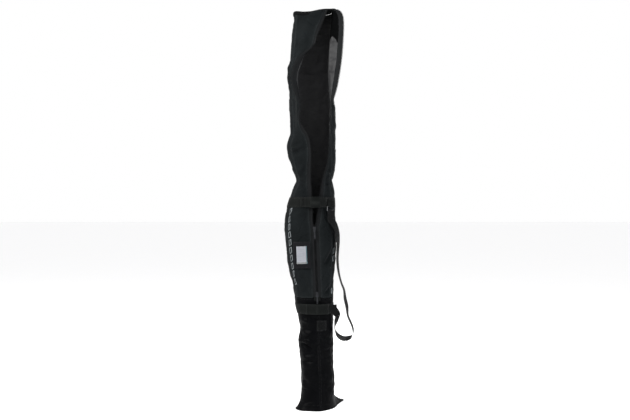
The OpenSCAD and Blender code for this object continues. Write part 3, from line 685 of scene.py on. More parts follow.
def place(ob, body, slot, look, *nodes):
    """Gives an object its look and its body, and hides the CAD pieces it stands for. slot is not used."""
    ob.data.materials.append(LOOK[look])
    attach(ob, body)
    if nodes:
        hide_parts(*nodes)
    return ob


def arcs(a0, a1, cols, rows):
    return loft(np.linspace(a0, a1, cols + 1)[None, :], rows[:, None])


def flap_grid(side, s, rows):
    """s is a rows by columns array, from the side seam towards the zip."""
    g = flap(side, s, rows[:, None])
    return g if side < 0 else g[:, ::-1]


def panel_grid(side, cols):
    """Even steps across a flap, and then one narrow column that ends PANEL_END mm from the zip edge."""
    even = mix(0.0004, share(side, ROWS, PANEL_END + 8)[:, None], np.linspace(0, 1, cols)[None, :])
    return flap_grid(side, np.concatenate([even, share(side, ROWS, PANEL_END)[:, None]], 1), ROWS)


def strip_grid(side, mm, rows):
    """A grid at given distances from a flap's zip edge."""
    return flap_grid(side, share(side, rows[:, None], np.asarray(mm, float)[None, :]), rows)


# ---------------------------------------------------------------- body panels
ROWS = np.arange(SEAM_Z + 0.4, TOP_Z + 0.1, 4.0)
FOOT_ROWS = np.concatenate([np.arange(5, 40, 2.5), np.arange(40, SEAM_Z - 0.3, 4.0)])
PANEL_END = 16.9  # the front panels stop this far from the zip edge
PANEL_GAP = 0.03  # degrees between a panel's edge and its seam
BODY = {}
for name, a0, a1, cols in (("back_panel", BACK_FROM, BACK_TO, 54), ("left_side_panel", BACK_TO, SIDE_TO, 32),
                           ("right_side_panel", -BACK_FROM, BACK_FROM, 32)):
    BODY[name] = clothed(arcs(a0 + PANEL_GAP, a1 - PANEL_GAP, cols, ROWS), False)
for side, name, cols in ((-1, "front_left_panel", 48), (1, "front_right_panel", 42)):
    BODY[name] = clothed(panel_grid(side, cols), True)
for name, outer in BODY.items():
    place(skin("cloth_" + name, outer, 0, FABRIC_T), "bag", "shell_fabric", "shell_fabric", name)

for name, a0, a1, cols in (("foot_back", 0.03, 179.97, 84), ("foot_front_left", -179.97, -84.05, 50),
                           ("foot_front_right", -83.95, -0.03, 44)):
    low = 1 - np.exp(-(FOOT_ROWS / 30)**2)[:, None]
    BODY[name] = clothed(arcs(a0, a1, cols, FOOT_ROWS), name != "foot_back", low, 2.6, 3.6)
    place(skin("cloth_" + name, BODY[name], 0, FABRIC_T), "bag", "foot_fabric", "foot_fabric", name)

# ---------------------------------------------------------------- linings, which follow the panels
GAP = 1.3


def lining_of(name, outer):
    n = normals(outer)
    soft = 0.35 * waves(outer[..., 0] + outer[..., 1], outer[..., 2] * 0.5, 21, 60)[..., None]
    face = outer - n * (FABRIC_T + GAP + 0.35 + soft)
    return face, n, solid(name, face, face - n * LINING_T)


face, n, ob = lining_of("cloth_lining_back", BODY["back_panel"][:, ::2])
place(ob, "bag", "lining_fabric", "lining_fabric", "lining_back")
for side, name in SIDES:
    front = BODY["front_" + name + "_panel"][:, 1:-1]
    wall = BODY[name + "_side_panel"]
    outer = np.concatenate([wall, front] if side < 0 else [front, wall], 1)
    face, n, ob = lining_of("cloth_lining_" + name, outer[:, ::2])
    place(ob, "bag", "lining_fabric", "lining_fabric", "lining_" + name)
    # Near-black sheet inside the top of the bag, with an arched lower edge: painted shade under the top end.
    u = np.linspace(0, 1, face.shape[1] - 1)[None, :]
    mid_z = (ROWS[:-1, None] + ROWS[1:, None]) / 2
    # The arch follows the edge of the painted shade.
    arch = 1740 + 26 * np.sin(math.pi * np.clip(u * 1.6, 0, 1)) if side > 0 else 1752 + 0 * u
    ob = solid("facing_" + name, face - n * (LINING_T + 0.3), face - n * (LINING_T + 1.1), mask=mid_z > arch)
    place(ob, "bag", "binding", "painted_shade")

# ---------------------------------------------------------------- top end and its binding
v = np.linspace(0, 1, 24)[:, None]
u = np.linspace(0, 1, 40)[None, :]
cap = mix(loft(mix(-177, -3, u), TOP_Z), loft(mix(177, 3, u), TOP_Z), v[..., None])
dome = 3 * np.sin(math.pi * v) * np.sin(math.pi * u)
cap[..., 2] += 1 + dome + 0.8 * waves(cap[..., 0], cap[..., 1], 31, 60)
ob = skin("cloth_top_panel", cap, FABRIC_T + 0.4, FABRIC_T)
place(ob, "bag", "shell_fabric", "shell_fabric", "top_panel")

rows = np.linspace(TOP_Z - 13, TOP_Z + 0.4, 9)
s_left = mix(0.03, share(-1, rows, 22)[:, None], np.linspace(0, 1, 45)[None, :])
g = np.concatenate([arcs(-33, 212, 120, rows), flap(-1, s_left, rows[:, None])], 1)
n = normals(g)
crown = np.sin(np.linspace(0, math.pi, 9))[:, None] * 0.8
crown = crown + 0.2 * waves(g[..., 0], g[..., 1] + g[..., 2], 33, 14)
ob = solid("tape_top_binding", g + n * (2.0 + crown[..., None]), g + n * 0.5)
place(ob, "bag", "binding", "binding", "top_binding")

# ---------------------------------------------------------------- base
a = np.radians(np.arange(-180, 180, 3.0))
r = along(BASE_OUTLINE, np.degrees(a))[:, 0]


def base_ring(out, z):
    """The base's outline, out mm beyond its own radius, at height z."""
    x, y = BASE_CENTRE
    return np.stack([x + (r + out) * np.cos(a), y + (r + out) * np.sin(a), 0 * a + z], 1)


k = len(a)
verts = np.concatenate([base_ring(-3.4, 0.0), base_ring(-3.4, 3.0)])
faces = [tuple(range(k - 1, -1, -1)), tuple(range(k, 2 * k))]
faces += [(i, (i + 1) % k, k + (i + 1) % k, k + i) for i in range(k)]
ob = mesh_object("cloth_base", verts, faces, verts * (1, 1, 0), sharp=40)
place(ob, "bag", "foot_fabric", "foot_fabric", "base_panel")
verts, faces = tube(base_ring(-0.9, 2.2), 2.2, closed=True)
ob = mesh_object("piping_base", verts, faces, np.zeros_like(verts))
place(ob, "bag", "binding", "binding", "base_binding")

# ---------------------------------------------------------------- zip
COIL_PITCH, TAPE_REACH, TAPE_T = 2.1, 24, 0.8
ZIP_ROWS = np.arange(SEAM_Z + 4, TOP_Z, 4.0)
for side, tag in SIDES:
    reach = np.linspace(TAPE_REACH, 0.2, 14)
    g = strip_grid(side, reach, ZIP_ROWS)
    n = normals(g)
    reach = reach[None, ::-side]
    lift = -FABRIC_T - 0.5 + 1.5 * np.exp(-(reach / 8)**2) + 0.12 * np.sin(ZIP_ROWS[:, None] / 3)
    ob = solid("tape_zip_" + tag, g + n * lift[..., None], g + n * (lift[..., None] - TAPE_T))
    place(ob, "bag", "zip_tape", "zip_tape", "zip_tape_" + tag)
    # One rounded bar for each turn of the coil, with a head that meets the other row.
    turns = np.arange(SEAM_Z + 6 + (COIL_PITCH / 2 if side > 0 else 0), TOP_Z - 4, COIL_PITCH)
    reach = np.array([3.6, 1.4, -1.2, -2.7])
    pts = flap(side, share(side, turns[:, None], reach[None, :]), turns[:, None])
    out = normals(strip_grid(side, [3.6, -2.7], turns))[:, 0]
    up = np.gradient(pts[:, 1], axis=0)
    up /= np.linalg.norm(up, axis=1, keepdims=True)
    ring = np.radians(np.arange(0, 360, 60))
    half_sizes = [(0.45, 0.5), (0.62, 0.95), (0.66, 1.05), (0.78, 0.8)]
    verts = np.stack([pts[:, c, None] + out[:, None] * 0.35
                      + up[:, None] * (high * np.cos(ring))[None, :, None]
                      + out[:, None] * (deep * np.sin(ring))[None, :, None]
                      for c, (high, deep) in enumerate(half_sizes)], 1)
    m = len(ring)
    faces = []
    for at in range(0, len(turns) * 4 * m, 4 * m):
        for low in range(at, at + 3 * m, m):
            for k in range(m):
                k1 = (k + 1) % m
                faces.append((low + k, low + k1, low + m + k1, low + m + k)[::side])
        faces += [tuple(range(at, at + m))[::-side], tuple(range(at + 3 * m, at + 4 * m))[::side]]
    verts = verts.reshape(-1, 3)
    ob = mesh_object("coil_zip_" + tag, verts, faces, np.zeros_like(verts), sharp=60)
    place(ob, "bag", "zip_coil", "zip_coil", "zip_coil_" + tag)


# ---------------------------------------------------------------- metal pieces
def zip_frame(z):
    """The slider's own frame at height z: Z along the zip, Y through it."""
    d = np.array([*(ZIP_HEAD - ZIP_FOOT), OPEN_Z - SEAM_Z])
    d /= np.linalg.norm(d)
    at = closed_zip(z)
    return (Matrix.Translation((at[0], at[1] + 0.5, z)) @ Matrix.Rotation(math.atan2(d[0], d[2]), 4, "Y")
            @ Matrix.Rotation(-math.asin(d[1]), 4, "X"))


def plate(bm, outline, y0, y1, bevel, hole=None):
    """A flat plate from y0 to y1 with a given outline in X and Z, and a round hole (x, z, radius)."""
    loops = [outline]
    if hole:
        t = np.radians(np.arange(0, 360, 15))
        loops.append([(hole[0] + hole[2] * math.cos(q), hole[1] + hole[2] * math.sin(q)) for q in t])
    rims = []
    for pts in loops:
        vs = [bm.verts.new((x, y0, z)) for x, z in pts]
        rims += [bm.edges.new((vs[i], vs[(i + 1) % len(vs)])) for i in range(len(vs))]
    front = [f for f in bmesh.ops.triangle_fill(bm, use_beauty=True, edges=rims)["geom"]
             if isinstance(f, bmesh.types.BMFace)]
    ext = bmesh.ops.extrude_face_region(bm, geom=front)
    moved = [v for v in ext["geom"] if isinstance(v, bmesh.types.BMVert)]
    bmesh.ops.translate(bm, verts=moved, vec=(0, y1 - y0, 0))
    far = [e for v in moved for e in v.link_edges
           if e.other_vert(v) in moved and any(abs(f.normal.y) < 0.5 for f in e.link_faces)]
    bmesh.ops.recalc_face_normals(bm, faces=bm.faces)
    rim = [e for e in set(rims) | set(far)
           if e.is_valid and len(e.link_faces) == 2 and e.calc_face_angle(0) > 0.9]
    bmesh.ops.bevel(bm, geom=rim, offset=bevel, segments=2, profile=0.6, affect="EDGES", clamp_overlap=True)


def rounded(w_top, w_bottom, z_top, z_bottom, r, n=5):
    """A tapered outline with round corners, in X and Z."""
    out = []
    for cx, cz, a0 in ((w_top / 2 - r, z_top - r, 0), (-w_top / 2 + r, z_top - r, 90),
                       (-w_bottom / 2 + r, z_bottom + r, 180), (w_bottom / 2 - r, z_bottom + r, 270)):
        for k in range(n + 1):
            t = math.radians(a0 + 90 * k / n)
            out.append((cx + r * math.cos(t), cz + r * math.sin(t)))
    return out


def add_tube(bm, pts, radius, closed=False, n=12):
    verts, faces = tube(pts, radius, closed, n)
    vs = [bm.verts.new(p) for p in verts]
    for f in faces:
        bm.faces.new([vs[i] for i in f])


def metal_piece(name, bm, place_at, body, slot, look, *nodes):
    bmesh.ops.recalc_face_normals(bm, faces=bm.faces)
    mesh = bpy.data.meshes.new(name)
    bm.to_mesh(mesh)
    bm.free()
    mesh.transform(Matrix.Scale(MM, 4) @ place_at)
    mesh.shade_smooth()
    mesh.set_sharp_from_angle(angle=math.radians(38))
    return place(linked(name, mesh), body, slot, look, *nodes)


GAP_Y, PLATE_Y, BAIL_Y = 1.7, 3.3, 7.9
for tag, z, wedge in (("upper", 854, 1), ("lower", 547, -1)):
    bm = bmesh.new()
    shape = rounded(13.8, 10.4, 11.9, -11.9, 3.0)
    if wedge < 0:
        shape = [(x, -q) for x, q in shape][::-1]
    plate(bm, shape, -PLATE_Y, -GAP_Y, bevel=0.5)
    plate(bm, shape, GAP_Y, PLATE_Y, bevel=0.5)
    for x in (-1, 1):
        top, foot = (6.1, 4.5) if wedge > 0 else (4.5, 6.1)
        for y in (-1.25, 1.25):
            rail = [(x * foot, y, -10.6), (x * (top + foot) / 2, y, 0), (x * top, y, 10.6)]
            add_tube(bm, spline(rail, 4), 0.72)
    post = rounded(2.0, 0.8, 11, 4, 0.35) if wedge > 0 else rounded(0.8, 2.0, -4, -11, 0.35)
    plate(bm, post, -GAP_Y - 0.2, GAP_Y + 0.2, bevel=0.15)
    arch = [(-3.6, -2.9, 0), (-3.6, -5.4, 0), (-3.3, -7.0, 0), (-2.4, -BAIL_Y, 0), (0, -BAIL_Y, 0),
            (2.4, -BAIL_Y, 0), (3.3, -7.0, 0), (3.6, -5.4, 0), (3.6, -2.9, 0)]
    add_tube(bm, spline(arch, 3), 1.15)
    metal_piece("slider_" + tag, bm, zip_frame(z), tag + "_slider", "slider_metal", "slider_metal",
                tag + "_slider")
    bm = bmesh.new()
    t = np.radians(np.arange(0, 360, 18))
    eye = [np.stack([0 * t + x, -BAIL_Y + rr * np.cos(t), rr * np.sin(t)], 1)
           for x, rr in ((-1.8, 1.5), (-1.8, 2.2), (-1.5, 2.45), (1.5, 2.45), (1.8, 2.2), (1.8, 1.5))]
    vs = [[bm.verts.new(p) for p in loop] for loop in eye]
    for i in range(len(vs)):
        for k in range(len(t)):
            p, q, k1 = vs[i], vs[(i + 1) % len(vs)], (k + 1) % len(t)
            bm.faces.new([p[k], p[k1], q[k1], q[k]])
    neck = rounded(3.4, 3.4, -1.9, -15, 0.3)
    plate(bm, neck, -BAIL_Y - 0.7, -BAIL_Y + 0.7, bevel=0.25)
    grip = rounded(6.4, 7.9, -12.4, -43.9, 2.6)
    plate(bm, grip, -BAIL_Y - 1.2, -BAIL_Y + 1.2, bevel=0.45, hole=(0, -39, 2.0))
    plate(bm, rounded(3.6, 4.6, -16, -34, 1.4), -BAIL_Y - 1.5, -BAIL_Y - 1.0, bevel=0.15)
    metal_piece("pull_" + tag, bm, zip_frame(z), tag + "_pull", "slider_metal", "slider_metal", tag + "_pull")

RING_MID, RING_W, RING_H, RING_BEND, RING_ROD = (76, -77, 962), 42, 20, 2.6, 2.0
RING_FRAME = Matrix.Translation(RING_MID) @ Matrix.Rotation(math.radians(30), 4, "Z")
bm = bmesh.new()
corner = [(x, 0, z) for x, z in rounded(RING_W, RING_W, 0, -RING_H, RING_BEND, 4)]
corner += [(RING_W / 2, 0, -RING_H / 2)]
add_tube(bm, corner, RING_ROD, closed=True, n=16)
metal_piece("ring_strap", bm, RING_FRAME, "bag", "ring_steel", "ring_steel", "strap_ring")


# ---------------------------------------------------------------- webbing bands
BAND_T, UPPER_LIFT, LOWER_LIFT = 1.8, 2.2, 2.1


def band_rows(mid, half_w=23.6):
    return mid + half_w * np.concatenate([[-1, -0.97], np.linspace(-0.9, 0.9, 13), [0.97, 1]])


def band_skin(name, g, lift, thick, ring=False):
    """Webbing laid on the body, with thinned selvedges."""
    n = normals(g, ring)
    edge = np.ones((g.shape[0], 1, 1))
    edge[[0, -1]] = 0.35
    edge[[1, -2]] = 0.8
    mid = lift - thick / 2
    return solid(name, g + n * (mid + edge * thick / 2), g + n * (mid - edge * thick / 2), ring=ring)


rows = band_rows(UPPER_Z)
s_right = mix(0.004, share(1, rows, 18.5)[:, None], np.linspace(1, 0.06, 26)[None, :])
s_left = mix(0.004, share(-1, rows, 18.5)[:, None], np.linspace(0.06, 1, 30)[None, :])
UPPER_BAND = np.concatenate([flap(1, s_right, rows[:, None]), arcs(-BACK_FROM + 2, SIDE_TO - 2, 110, rows),
                             flap(-1, s_left, rows[:, None])], 1)
ob = band_skin("webbing_upper_band", UPPER_BAND, UPPER_LIFT, BAND_T)
place(ob, "bag", "webbing", "webbing", "upper_band")
LOWER_BAND = loft(np.linspace(-180, 180, 181)[None, :-1], band_rows(LOWER_Z)[:, None])
ob = band_skin("webbing_lower_band", LOWER_BAND, LOWER_LIFT, BAND_T, ring=True)
place(ob, "bag", "webbing", "webbing", "lower_band")

# ---------------------------------------------------------------- handles
LIFT, RISE = 4.8, 14
HANDLES = {
    "upper": dict(mid=UPPER_Z, ends=(-38, 42), y=-95, meet=2),
    "lower": dict(mid=LOWER_Z, ends=(-32, 50), y=-92, meet=9)}


def handle_bow(h, x):
    """How far a handle bows out at x: nothing at its two ends."""
    t = (x - h["ends"][0]) / (h["ends"][1] - h["ends"][0])
    return 10 * math.sin(math.pi * t)**1.4


def handle_half(tag, side, word):
    """One half of a handle: sewn flat on the band, rising from it, and bowed out to the middle."""
    h = HANDLES[tag]
    rows = band_rows(h["mid"], 23.4)
    x_end = h["ends"][0 if side < 0 else 1]
    if tag == "upper":
        flat = [flap(side, share(side, rows, mm), rows) for mm in (68, 52, 38)]
    else:
        flat = [loft(ang, rows) for ang in ((-150, -140, -130) if side < 0 else (-30, -40, -50))]
    y = h["y"] + 3.0
    cols = list(flat)
    for q, w in ((0, 0.5), (0.62, 1), (1, 1)):
        x = mix(x_end + 8 * side, x_end, q)
        cols.append(np.stack([0 * rows + x, 0 * rows + y + RISE * (1 - w), rows], 1))
    for q in np.linspace(0, 1, 6)[1:]:
        x = mix(x_end, h["meet"], q)
        cols.append(np.stack([0 * rows + x, 0 * rows + y - handle_bow(h, x), rows], 1))
    g = np.stack([spline(np.array(cols)[:, r], 4) for r in range(len(rows))])
    if side > 0:
        g = g[:, ::-1]
    ob = band_skin(f"webbing_{tag}_handle_{word}", g, LIFT, BAND_T)
    ob.data.materials.append(LOOK["webbing"])
    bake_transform(ob)
    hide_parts(f"{tag}_handle_end_{word}", tag + "_handle")
    return g


HANDLE_GRIDS = [(side, handle_half(tag, side, word)) for tag in HANDLES for side, word in SIDES]


def wrap_section(x, grow):
    """The wrap's flat round section at x, grow mm thicker all round."""
    h = HANDLES["upper"]
    mid_y = h["y"] - handle_bow(h, x) - 0.9
    ang = np.radians(np.arange(0, 360, 9))
    return np.stack([0 * ang + x, mid_y - spow(np.cos(ang), 0.5) * (1.7 + grow),
                     UPPER_Z + spow(np.sin(ang), 0.62) * (24.3 + grow)], 1)


xs = np.concatenate([[-21.8, -21.4], np.linspace(-20.5, 24.5, 19), [25.4, 25.8]])
end_round = np.array([0.2, 0.75] + [1.0] * 19 + [0.75, 0.2])
puff = [1.2 * e + 0.5 * e * math.sin(math.pi * np.clip((x + 22) / 48, 0, 1)) for x, e in zip(xs, end_round)]
outer = np.stack([wrap_section(x, p) for x, p in zip(xs, puff)])
ripple = 0.35 * np.sin(outer[..., 0:1] * 0.7 + outer[..., 2:3] * 0.11)
outer[..., 1:] += ripple * end_round[:, None, None] * 0.5
inner = np.stack([wrap_section(x, -0.5) for x in xs])
ob = solid("wrap_upper_handle", outer[:, ::-1], inner[:, ::-1], ring=True)
place(ob, "upper_handle", "wrap_fabric", "wrap_fabric", "upper_handle_wrap")

# ---------------------------------------------------------------- ring tab and the strap's ends
STRAP_W, STRAP_T = 38, 1.8


def loop_of_webbing(name, runs, width, frame_at, thick):
    """A webbing strip that follows a polyline in Y and Z, swept across X."""
    p = np.array([(0, y, z) for y, z in runs], float)
    p = spline(p, 3)
    pts = np.array([frame_at @ Vector(q) for q in p])
    across = np.array([frame_at.to_3x3() @ Vector((1, 0, 0))] * len(p))
    return ribbon(name, pts, across, width, thick, 14)


bar = RING_ROD + 0.96  # radius at which webbing turns round the ring's bar
tab_run = [(bar, 25), (bar, 16), (bar, 8), (bar, 3)] + \
    [(bar * math.cos(t), bar * math.sin(t)) for t in np.radians(np.arange(0, -181, -30))] + \
    [(-bar, 2.5), (-bar * 0.2, 6.5), (bar - 2.0, 10), (bar - 2.0, 22)]
ob = loop_of_webbing("webbing_ring_tab", tab_run, 36, RING_FRAME, 1.5)
place(ob, "bag", "webbing", "webbing", "ring_tab")
END_FRAME = RING_FRAME @ Matrix.Translation((0, 0, -RING_H))
end_run = [(-0.9, -18), (-0.9, -11), (-1.2, -6), (-2.4, -2.4)] + \
    [(bar * math.cos(t), bar * math.sin(t)) for t in np.radians(np.arange(180, -1, -30))] + \
    [(2.4, -2.4), (1.2, -6), (0.9, -11), (0.9, -18)]
ob = loop_of_webbing("webbing_strap_upper_end", end_run, STRAP_W, END_FRAME, 1.6)
place(ob, "bag", "strap_webbing", "strap_webbing", "strap_upper_end")

# ---------------------------------------------------------------- shoulder strap
STRAP_UPPER = [[77, -70, 900], [88, -66, 884], [100, -60, 860], [108, -54, 830], [110, -47, 790],
               [108, -41, 745], [107, -36, 710], [110, -32, 670], [117, -29, 630]]
STRAP_LOWER = [[127, -27, 594], [139, -26, 563], [144, -25, 523], [153, -24, 483], [157, -23, 443],
               [166, -22, 419], [178, -21, 391], [183, -21, 368], [179, -21, 348], [165, -22, 336],
               [144, -26, 331], [124, -29, 336], [107, -33, 350], [97, -37, 370], [95, -40, 389],
               [101, -41, 417]]
TOP, FOOT = np.array([76.0, -77, 924]), np.array([108.0, -42, 440])
DOWN = (FOOT - TOP) / np.linalg.norm(FOOT - TOP)
route = np.array([TOP, TOP + DOWN * 8] + STRAP_UPPER + STRAP_LOWER + [FOOT - DOWN * 1])
# Which way the webbing's width points: given outright above, and as a tilt outwards from +Y below.
UPPER_TURN = [[0.87, 0.5, 0], [0.87, 0.5, 0], [0.85, 0.55, 0], [0.75, 0.65, 0], [0.62, 0.78, 0],
              [0.5, 0.86, 0], [0.42, 0.9, 0], [0.36, 0.93, 0], [0.33, 0.94, 0], [0.3, 0.95, 0],
              [0.24, 0.97, 0]]
LOWER_TILT = [0.22, 0.26, 0.38, 0.4, 0.26, 0.24, 0.23, 0.22, 0.08, -0.36, -0.5, -0.5, -0.36, -0.12, -0.16,
              -0.5, -0.6]
ahead = np.gradient(route, axis=0)[len(UPPER_TURN):]
ahead /= np.linalg.norm(ahead, axis=1, keepdims=True)
outward = np.stack([-ahead[:, 2], 0 * ahead[:, 1], ahead[:, 0]], 1)
tilt = np.array(LOWER_TILT)[:, None]
turn = np.concatenate([UPPER_TURN, outward * tilt + np.array([[0, 1, 0]]) * np.sqrt(1 - tilt**2)])
both = spline(np.concatenate([route, turn * 100], 1), 6)
path, widths = both[:, :3], both[:, 3:]
low = int(np.argmin(path[:, 2]))
sway = np.stack([0 * path[:, 0], 0.8 * np.sin(path[:, 2] / 31), 0 * path[:, 0]], 1)
path = path + sway * ease((900 - path[:, 2:3]) / 60) * ease((path[:, 2:3] - 330) / 60)
SHORT_TOP, SHORT_LOW = np.array([0, 0, 452.0]), np.array([0, 0, 392.0])
for name, cut, start, end in (("webbing_strap_long", slice(0, low + 1), TOP, TOP + DOWN * 62),
                              ("webbing_strap_short", slice(low, None), SHORT_TOP, SHORT_LOW)):
    ob = ribbon(name, path[cut], widths[cut], STRAP_W, STRAP_T, 16, bulge=0.35)
    ob.data.materials.append(LOOK["strap_webbing"])
    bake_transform(ob)
    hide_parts("shoulder_strap")
# Position and width direction of the strap's sewn-down lower end.
LOWER_END = [(*(FOOT + DOWN), 0.6, 0.8, 0.1), (*(FOOT - DOWN * 8), 0.7, 0.7, 0.2),
             (100, -46, 458, 0.8, 0.5, 0.35), (91, -49, 470, 0.8, 0.45, 0.45),
             (87, -50, 482, 0.78, 0.45, 0.45), (87, -50, 496, 0.78, 0.45, 0.4)]
lower_end = spline(LOWER_END, 5)
ob = ribbon("webbing_strap_lower_end", lower_end[:, :3], lower_end[:, 3:], STRAP_W, STRAP_T, 16)
place(ob, "bag", "strap_webbing", "strap_webbing", "strap_lower_end")

# ---------------------------------------------------------------- label
POCKET = (Matrix.Translation((-62.0, -82.4, 733)) @ Matrix.Rotation(math.radians(-10.4), 4, "Z")
          @ Matrix.Rotation(math.radians(1.2), 4, "X") @ Matrix.Rotation(math.radians(-2.0), 4, "Y"))
POCKET_R = 180
FRAME_W, FRAME_H, CARD_W, CARD_H = 82, 126, 56, 86
# How far each layer's back and front stand off the pocket's back plane.
CARD_LAYER, INK_LAYER, WINDOW_LAYER, LEDGE_LAYER = (1.7, 2.1), (2.08, 2.16), (2.7, 3.0), (3.3, 3.7)
FRAME_BACK, FRAME_HOLLOW, FRAME_FRONT, FRAME_STITCH = 0.6, 2.62, 3.9, 3.8


def on_pocket(x, z, off):
    """Points at x across and z up the pocket's curved front, off mm proud of its back plane."""
    x, z, off = np.broadcast_arrays(np.asarray(x, float), np.asarray(z, float), np.asarray(off, float))
    phi = x / POCKET_R
    local = np.stack([(POCKET_R + off) * np.sin(phi), POCKET_R - (POCKET_R + off) * np.cos(phi), z], -1)
    m = np.array(POCKET)
    return local @ m[:3, :3].T + m[:3, 3]


def pocket_sheet(name, w, h, layer, nx, nz, mask=None, soft=None):
    back, front = layer
    x = np.linspace(-w / 2, w / 2, nx + 1)[None, :]
    z = np.linspace(-h / 2, h / 2, nz + 1)[:, None]
    top = front + (soft(x, z) if soft else 0 * x * z)
    cl = np.stack(np.broadcast_arrays(x + 50, z + 70, 0 * x * z), -1)
    return solid(name, on_pocket(x, z, top), on_pocket(x, z, back), mask=mask, cloth=cl)


def frame_pad(x, z):
    """The frame is padded between its edges and the window."""
    d_out = np.minimum(FRAME_W / 2 - np.abs(x), FRAME_H / 2 - np.abs(z))
    d_in = np.maximum(np.abs(x) - CARD_W / 2 + 2, np.abs(z) - CARD_H / 2 + 2)
    return -np.exp(-(np.minimum(d_out, np.abs(d_in)) / 1.6)**2)


nx, nz = 41, 63
xc = (np.linspace(-FRAME_W / 2, FRAME_W / 2, nx + 1)[:-1] + FRAME_W / nx / 2)[None, :]
zc = (np.linspace(-FRAME_H / 2, FRAME_H / 2, nz + 1)[:-1] + FRAME_H / nz / 2)[:, None]
window = (np.abs(xc) < CARD_W / 2 - 2) & (np.abs(zc) < CARD_H / 2 - 2)
# The frame is hollow behind the card's path, which is open at the top.
xg = np.linspace(-FRAME_W / 2, FRAME_W / 2, nx + 1)[None, :]
zg = np.linspace(-FRAME_H / 2, FRAME_H / 2, nz + 1)[:, None]
frame_back = np.where((np.abs(xg) < CARD_W / 2 + 4) & (zg > -CARD_H / 2 - 2), FRAME_HOLLOW, FRAME_BACK)
ob = pocket_sheet("pocket_frame", FRAME_W, FRAME_H, (frame_back, FRAME_FRONT), nx, nz, ~window, frame_pad)
place(ob, "bag", "pocket_fabric", "pocket_fabric", "label_pocket")
ob = pocket_sheet("pocket_window", 55, 85, WINDOW_LAYER, 24, 36, None,
                  lambda x, z: 0.12 * np.sin(x / 7 + z / 11) + 0.08 * np.sin(z / 5))
place(ob, "bag", "window_film", "window_film", "label_window")
ledge = pocket_sheet("pocket_ledge", 50, 5, LEDGE_LAYER, 10, 2)
ledge.data.transform(Matrix.Translation(Vector((0, 0, -0.0372))))
place(ledge, "bag", "card", "ledge")
ob = pocket_sheet("card_sheet", CARD_W - 1.5, CARD_H - 1, CARD_LAYER, 12, 4)
place(ob, "card", "card", "card", "label_card")


def card_mark(name, x0, z0, x1, z1, look):
    x = np.linspace(x0, x1, 7)[None, :]
    z = np.array([z0, z1])[:, None]
    ob = solid(name, on_pocket(x, z, INK_LAYER[1]), on_pocket(x, z, INK_LAYER[0]))
    place(ob, "card", "card", look)


card_mark("card_stripe", 20.5, -42, 26, 42, "card_stripe")
for i, (z, w) in enumerate(((26, 34), (18, 28), (8, 36), (0, 36), (-8, 24), (-26, 16))):
    card_mark(f"card_rule_{i + 1}", -20, z, -20 + w, z + 1.1, "card_ink")


# ---------------------------------------------------------------- patch, tabs, tapes
PATCH_LIFT, PATCH_BULGE = 2.5, 0.3


def body_patch(name, x0, x1, z0, z1, lift, thick, nx=24, nz=24):
    """A square of webbing laid on the front of the body, a little fuller in the middle."""
    x = np.linspace(x0, x1, nx + 1)[None, :]
    z = np.linspace(z0, z1, nz + 1)[:, None]
    g = loft(front_angle(x + 0 * z, z + 0 * x), z + 0 * x)
    n = normals(g)
    ex = np.minimum(x - x0, x1 - x)
    ez = np.minimum(z - z0, z1 - z)
    up = lift - PATCH_BULGE * np.exp(-(np.minimum(ex, ez) / 4)**2)
    return g, n, solid(name, g + n * up[..., None], g + n * (lift - thick))


patch, patch_n, ob = body_patch("webbing_foot_patch", 8, 54, 373, 424, PATCH_LIFT, 2.2)
place(ob, "bag", "webbing", "patch", "foot_patch")
g, n, ob = body_patch("webbing_zip_end", -4, 25, 518, 533, 2.1, 1.6, 16, 8)
place(ob, "bag", "webbing", "webbing", "zip_end_tab")
rows = FOOT_ROWS[(FOOT_ROWS > 20) & (FOOT_ROWS < 445)]
ob = skin("tape_foot_seam", arcs(-89, -79, 6, rows), -FABRIC_T - 1.4, 0.8)
place(ob, "bag", "binding", "binding", "foot_seam_tape")


# ---------------------------------------------------------------- lines on the cloth
def cloth_at(name, z, mm, from_end=False):
    """Points and outward directions on a panel at heights z, mm in from its first or last column."""
    g = BODY[name]
    n, u = normals(g), arc_lengths(g, 1)
    rows = FOOT_ROWS if name.startswith("foot") else ROWS
    z, mm = np.broadcast_arrays(np.asarray(z, float), np.asarray(mm, float))
    at = np.interp(z, rows, np.arange(len(rows)))
    out = []
    for r, m in zip(at.ravel(), mm.ravel()):
        a = min(int(r), len(rows) - 2)
        pair = []
        for row in (a, a + 1):
            m_row = u[row, -1] - m if from_end else m
            pair.append([np.interp(m_row, u[row], c[row, :, k]) for c in (g, n) for k in range(3)])
        out.append(mix(np.array(pair[0]), np.array(pair[1]), r - a))
    out = np.array(out)
    return out[:, :3], out[:, 3:]


def box_lines(g, n, lift, rows, cols, cross=True):
    """A box of stitches, with an X in it, between two rows and two columns of a grid."""
    (r0, r1), (c0, c1) = rows, cols
    corners = [(r0, c0), (r0, c1), (r1, c1), (r1, c0), (r0, c0)]
    runs = list(zip(corners, corners[1:]))
    if cross:
        runs += [((r0, c0), (r1, c1)), ((r1, c0), (r0, c1))]
    out = []
    for (ra, ca), (rb, cb) in runs:
        t = np.linspace(0, 1, 14)
        r, c = mix(ra, rb, t), mix(ca, cb, t)
        ri, ci = np.minimum(r.astype(int), g.shape[0] - 2), np.minimum(c.astype(int), g.shape[1] - 2)
        fr, fc = (r - ri)[:, None], (c - ci)[:, None]
        p, q = [mix(mix(k[ri, ci], k[ri, ci + 1], fc), mix(k[ri + 1, ci], k[ri + 1, ci + 1], fc), fr)
                for k in (g, n)]
        out.append((p + q * lift, q))
    return out


def sew(name, lines, slot="binding"):
    """Sews lines of stitches to the bag."""
    place(stitches(name, lines), "bag", slot, "thread")


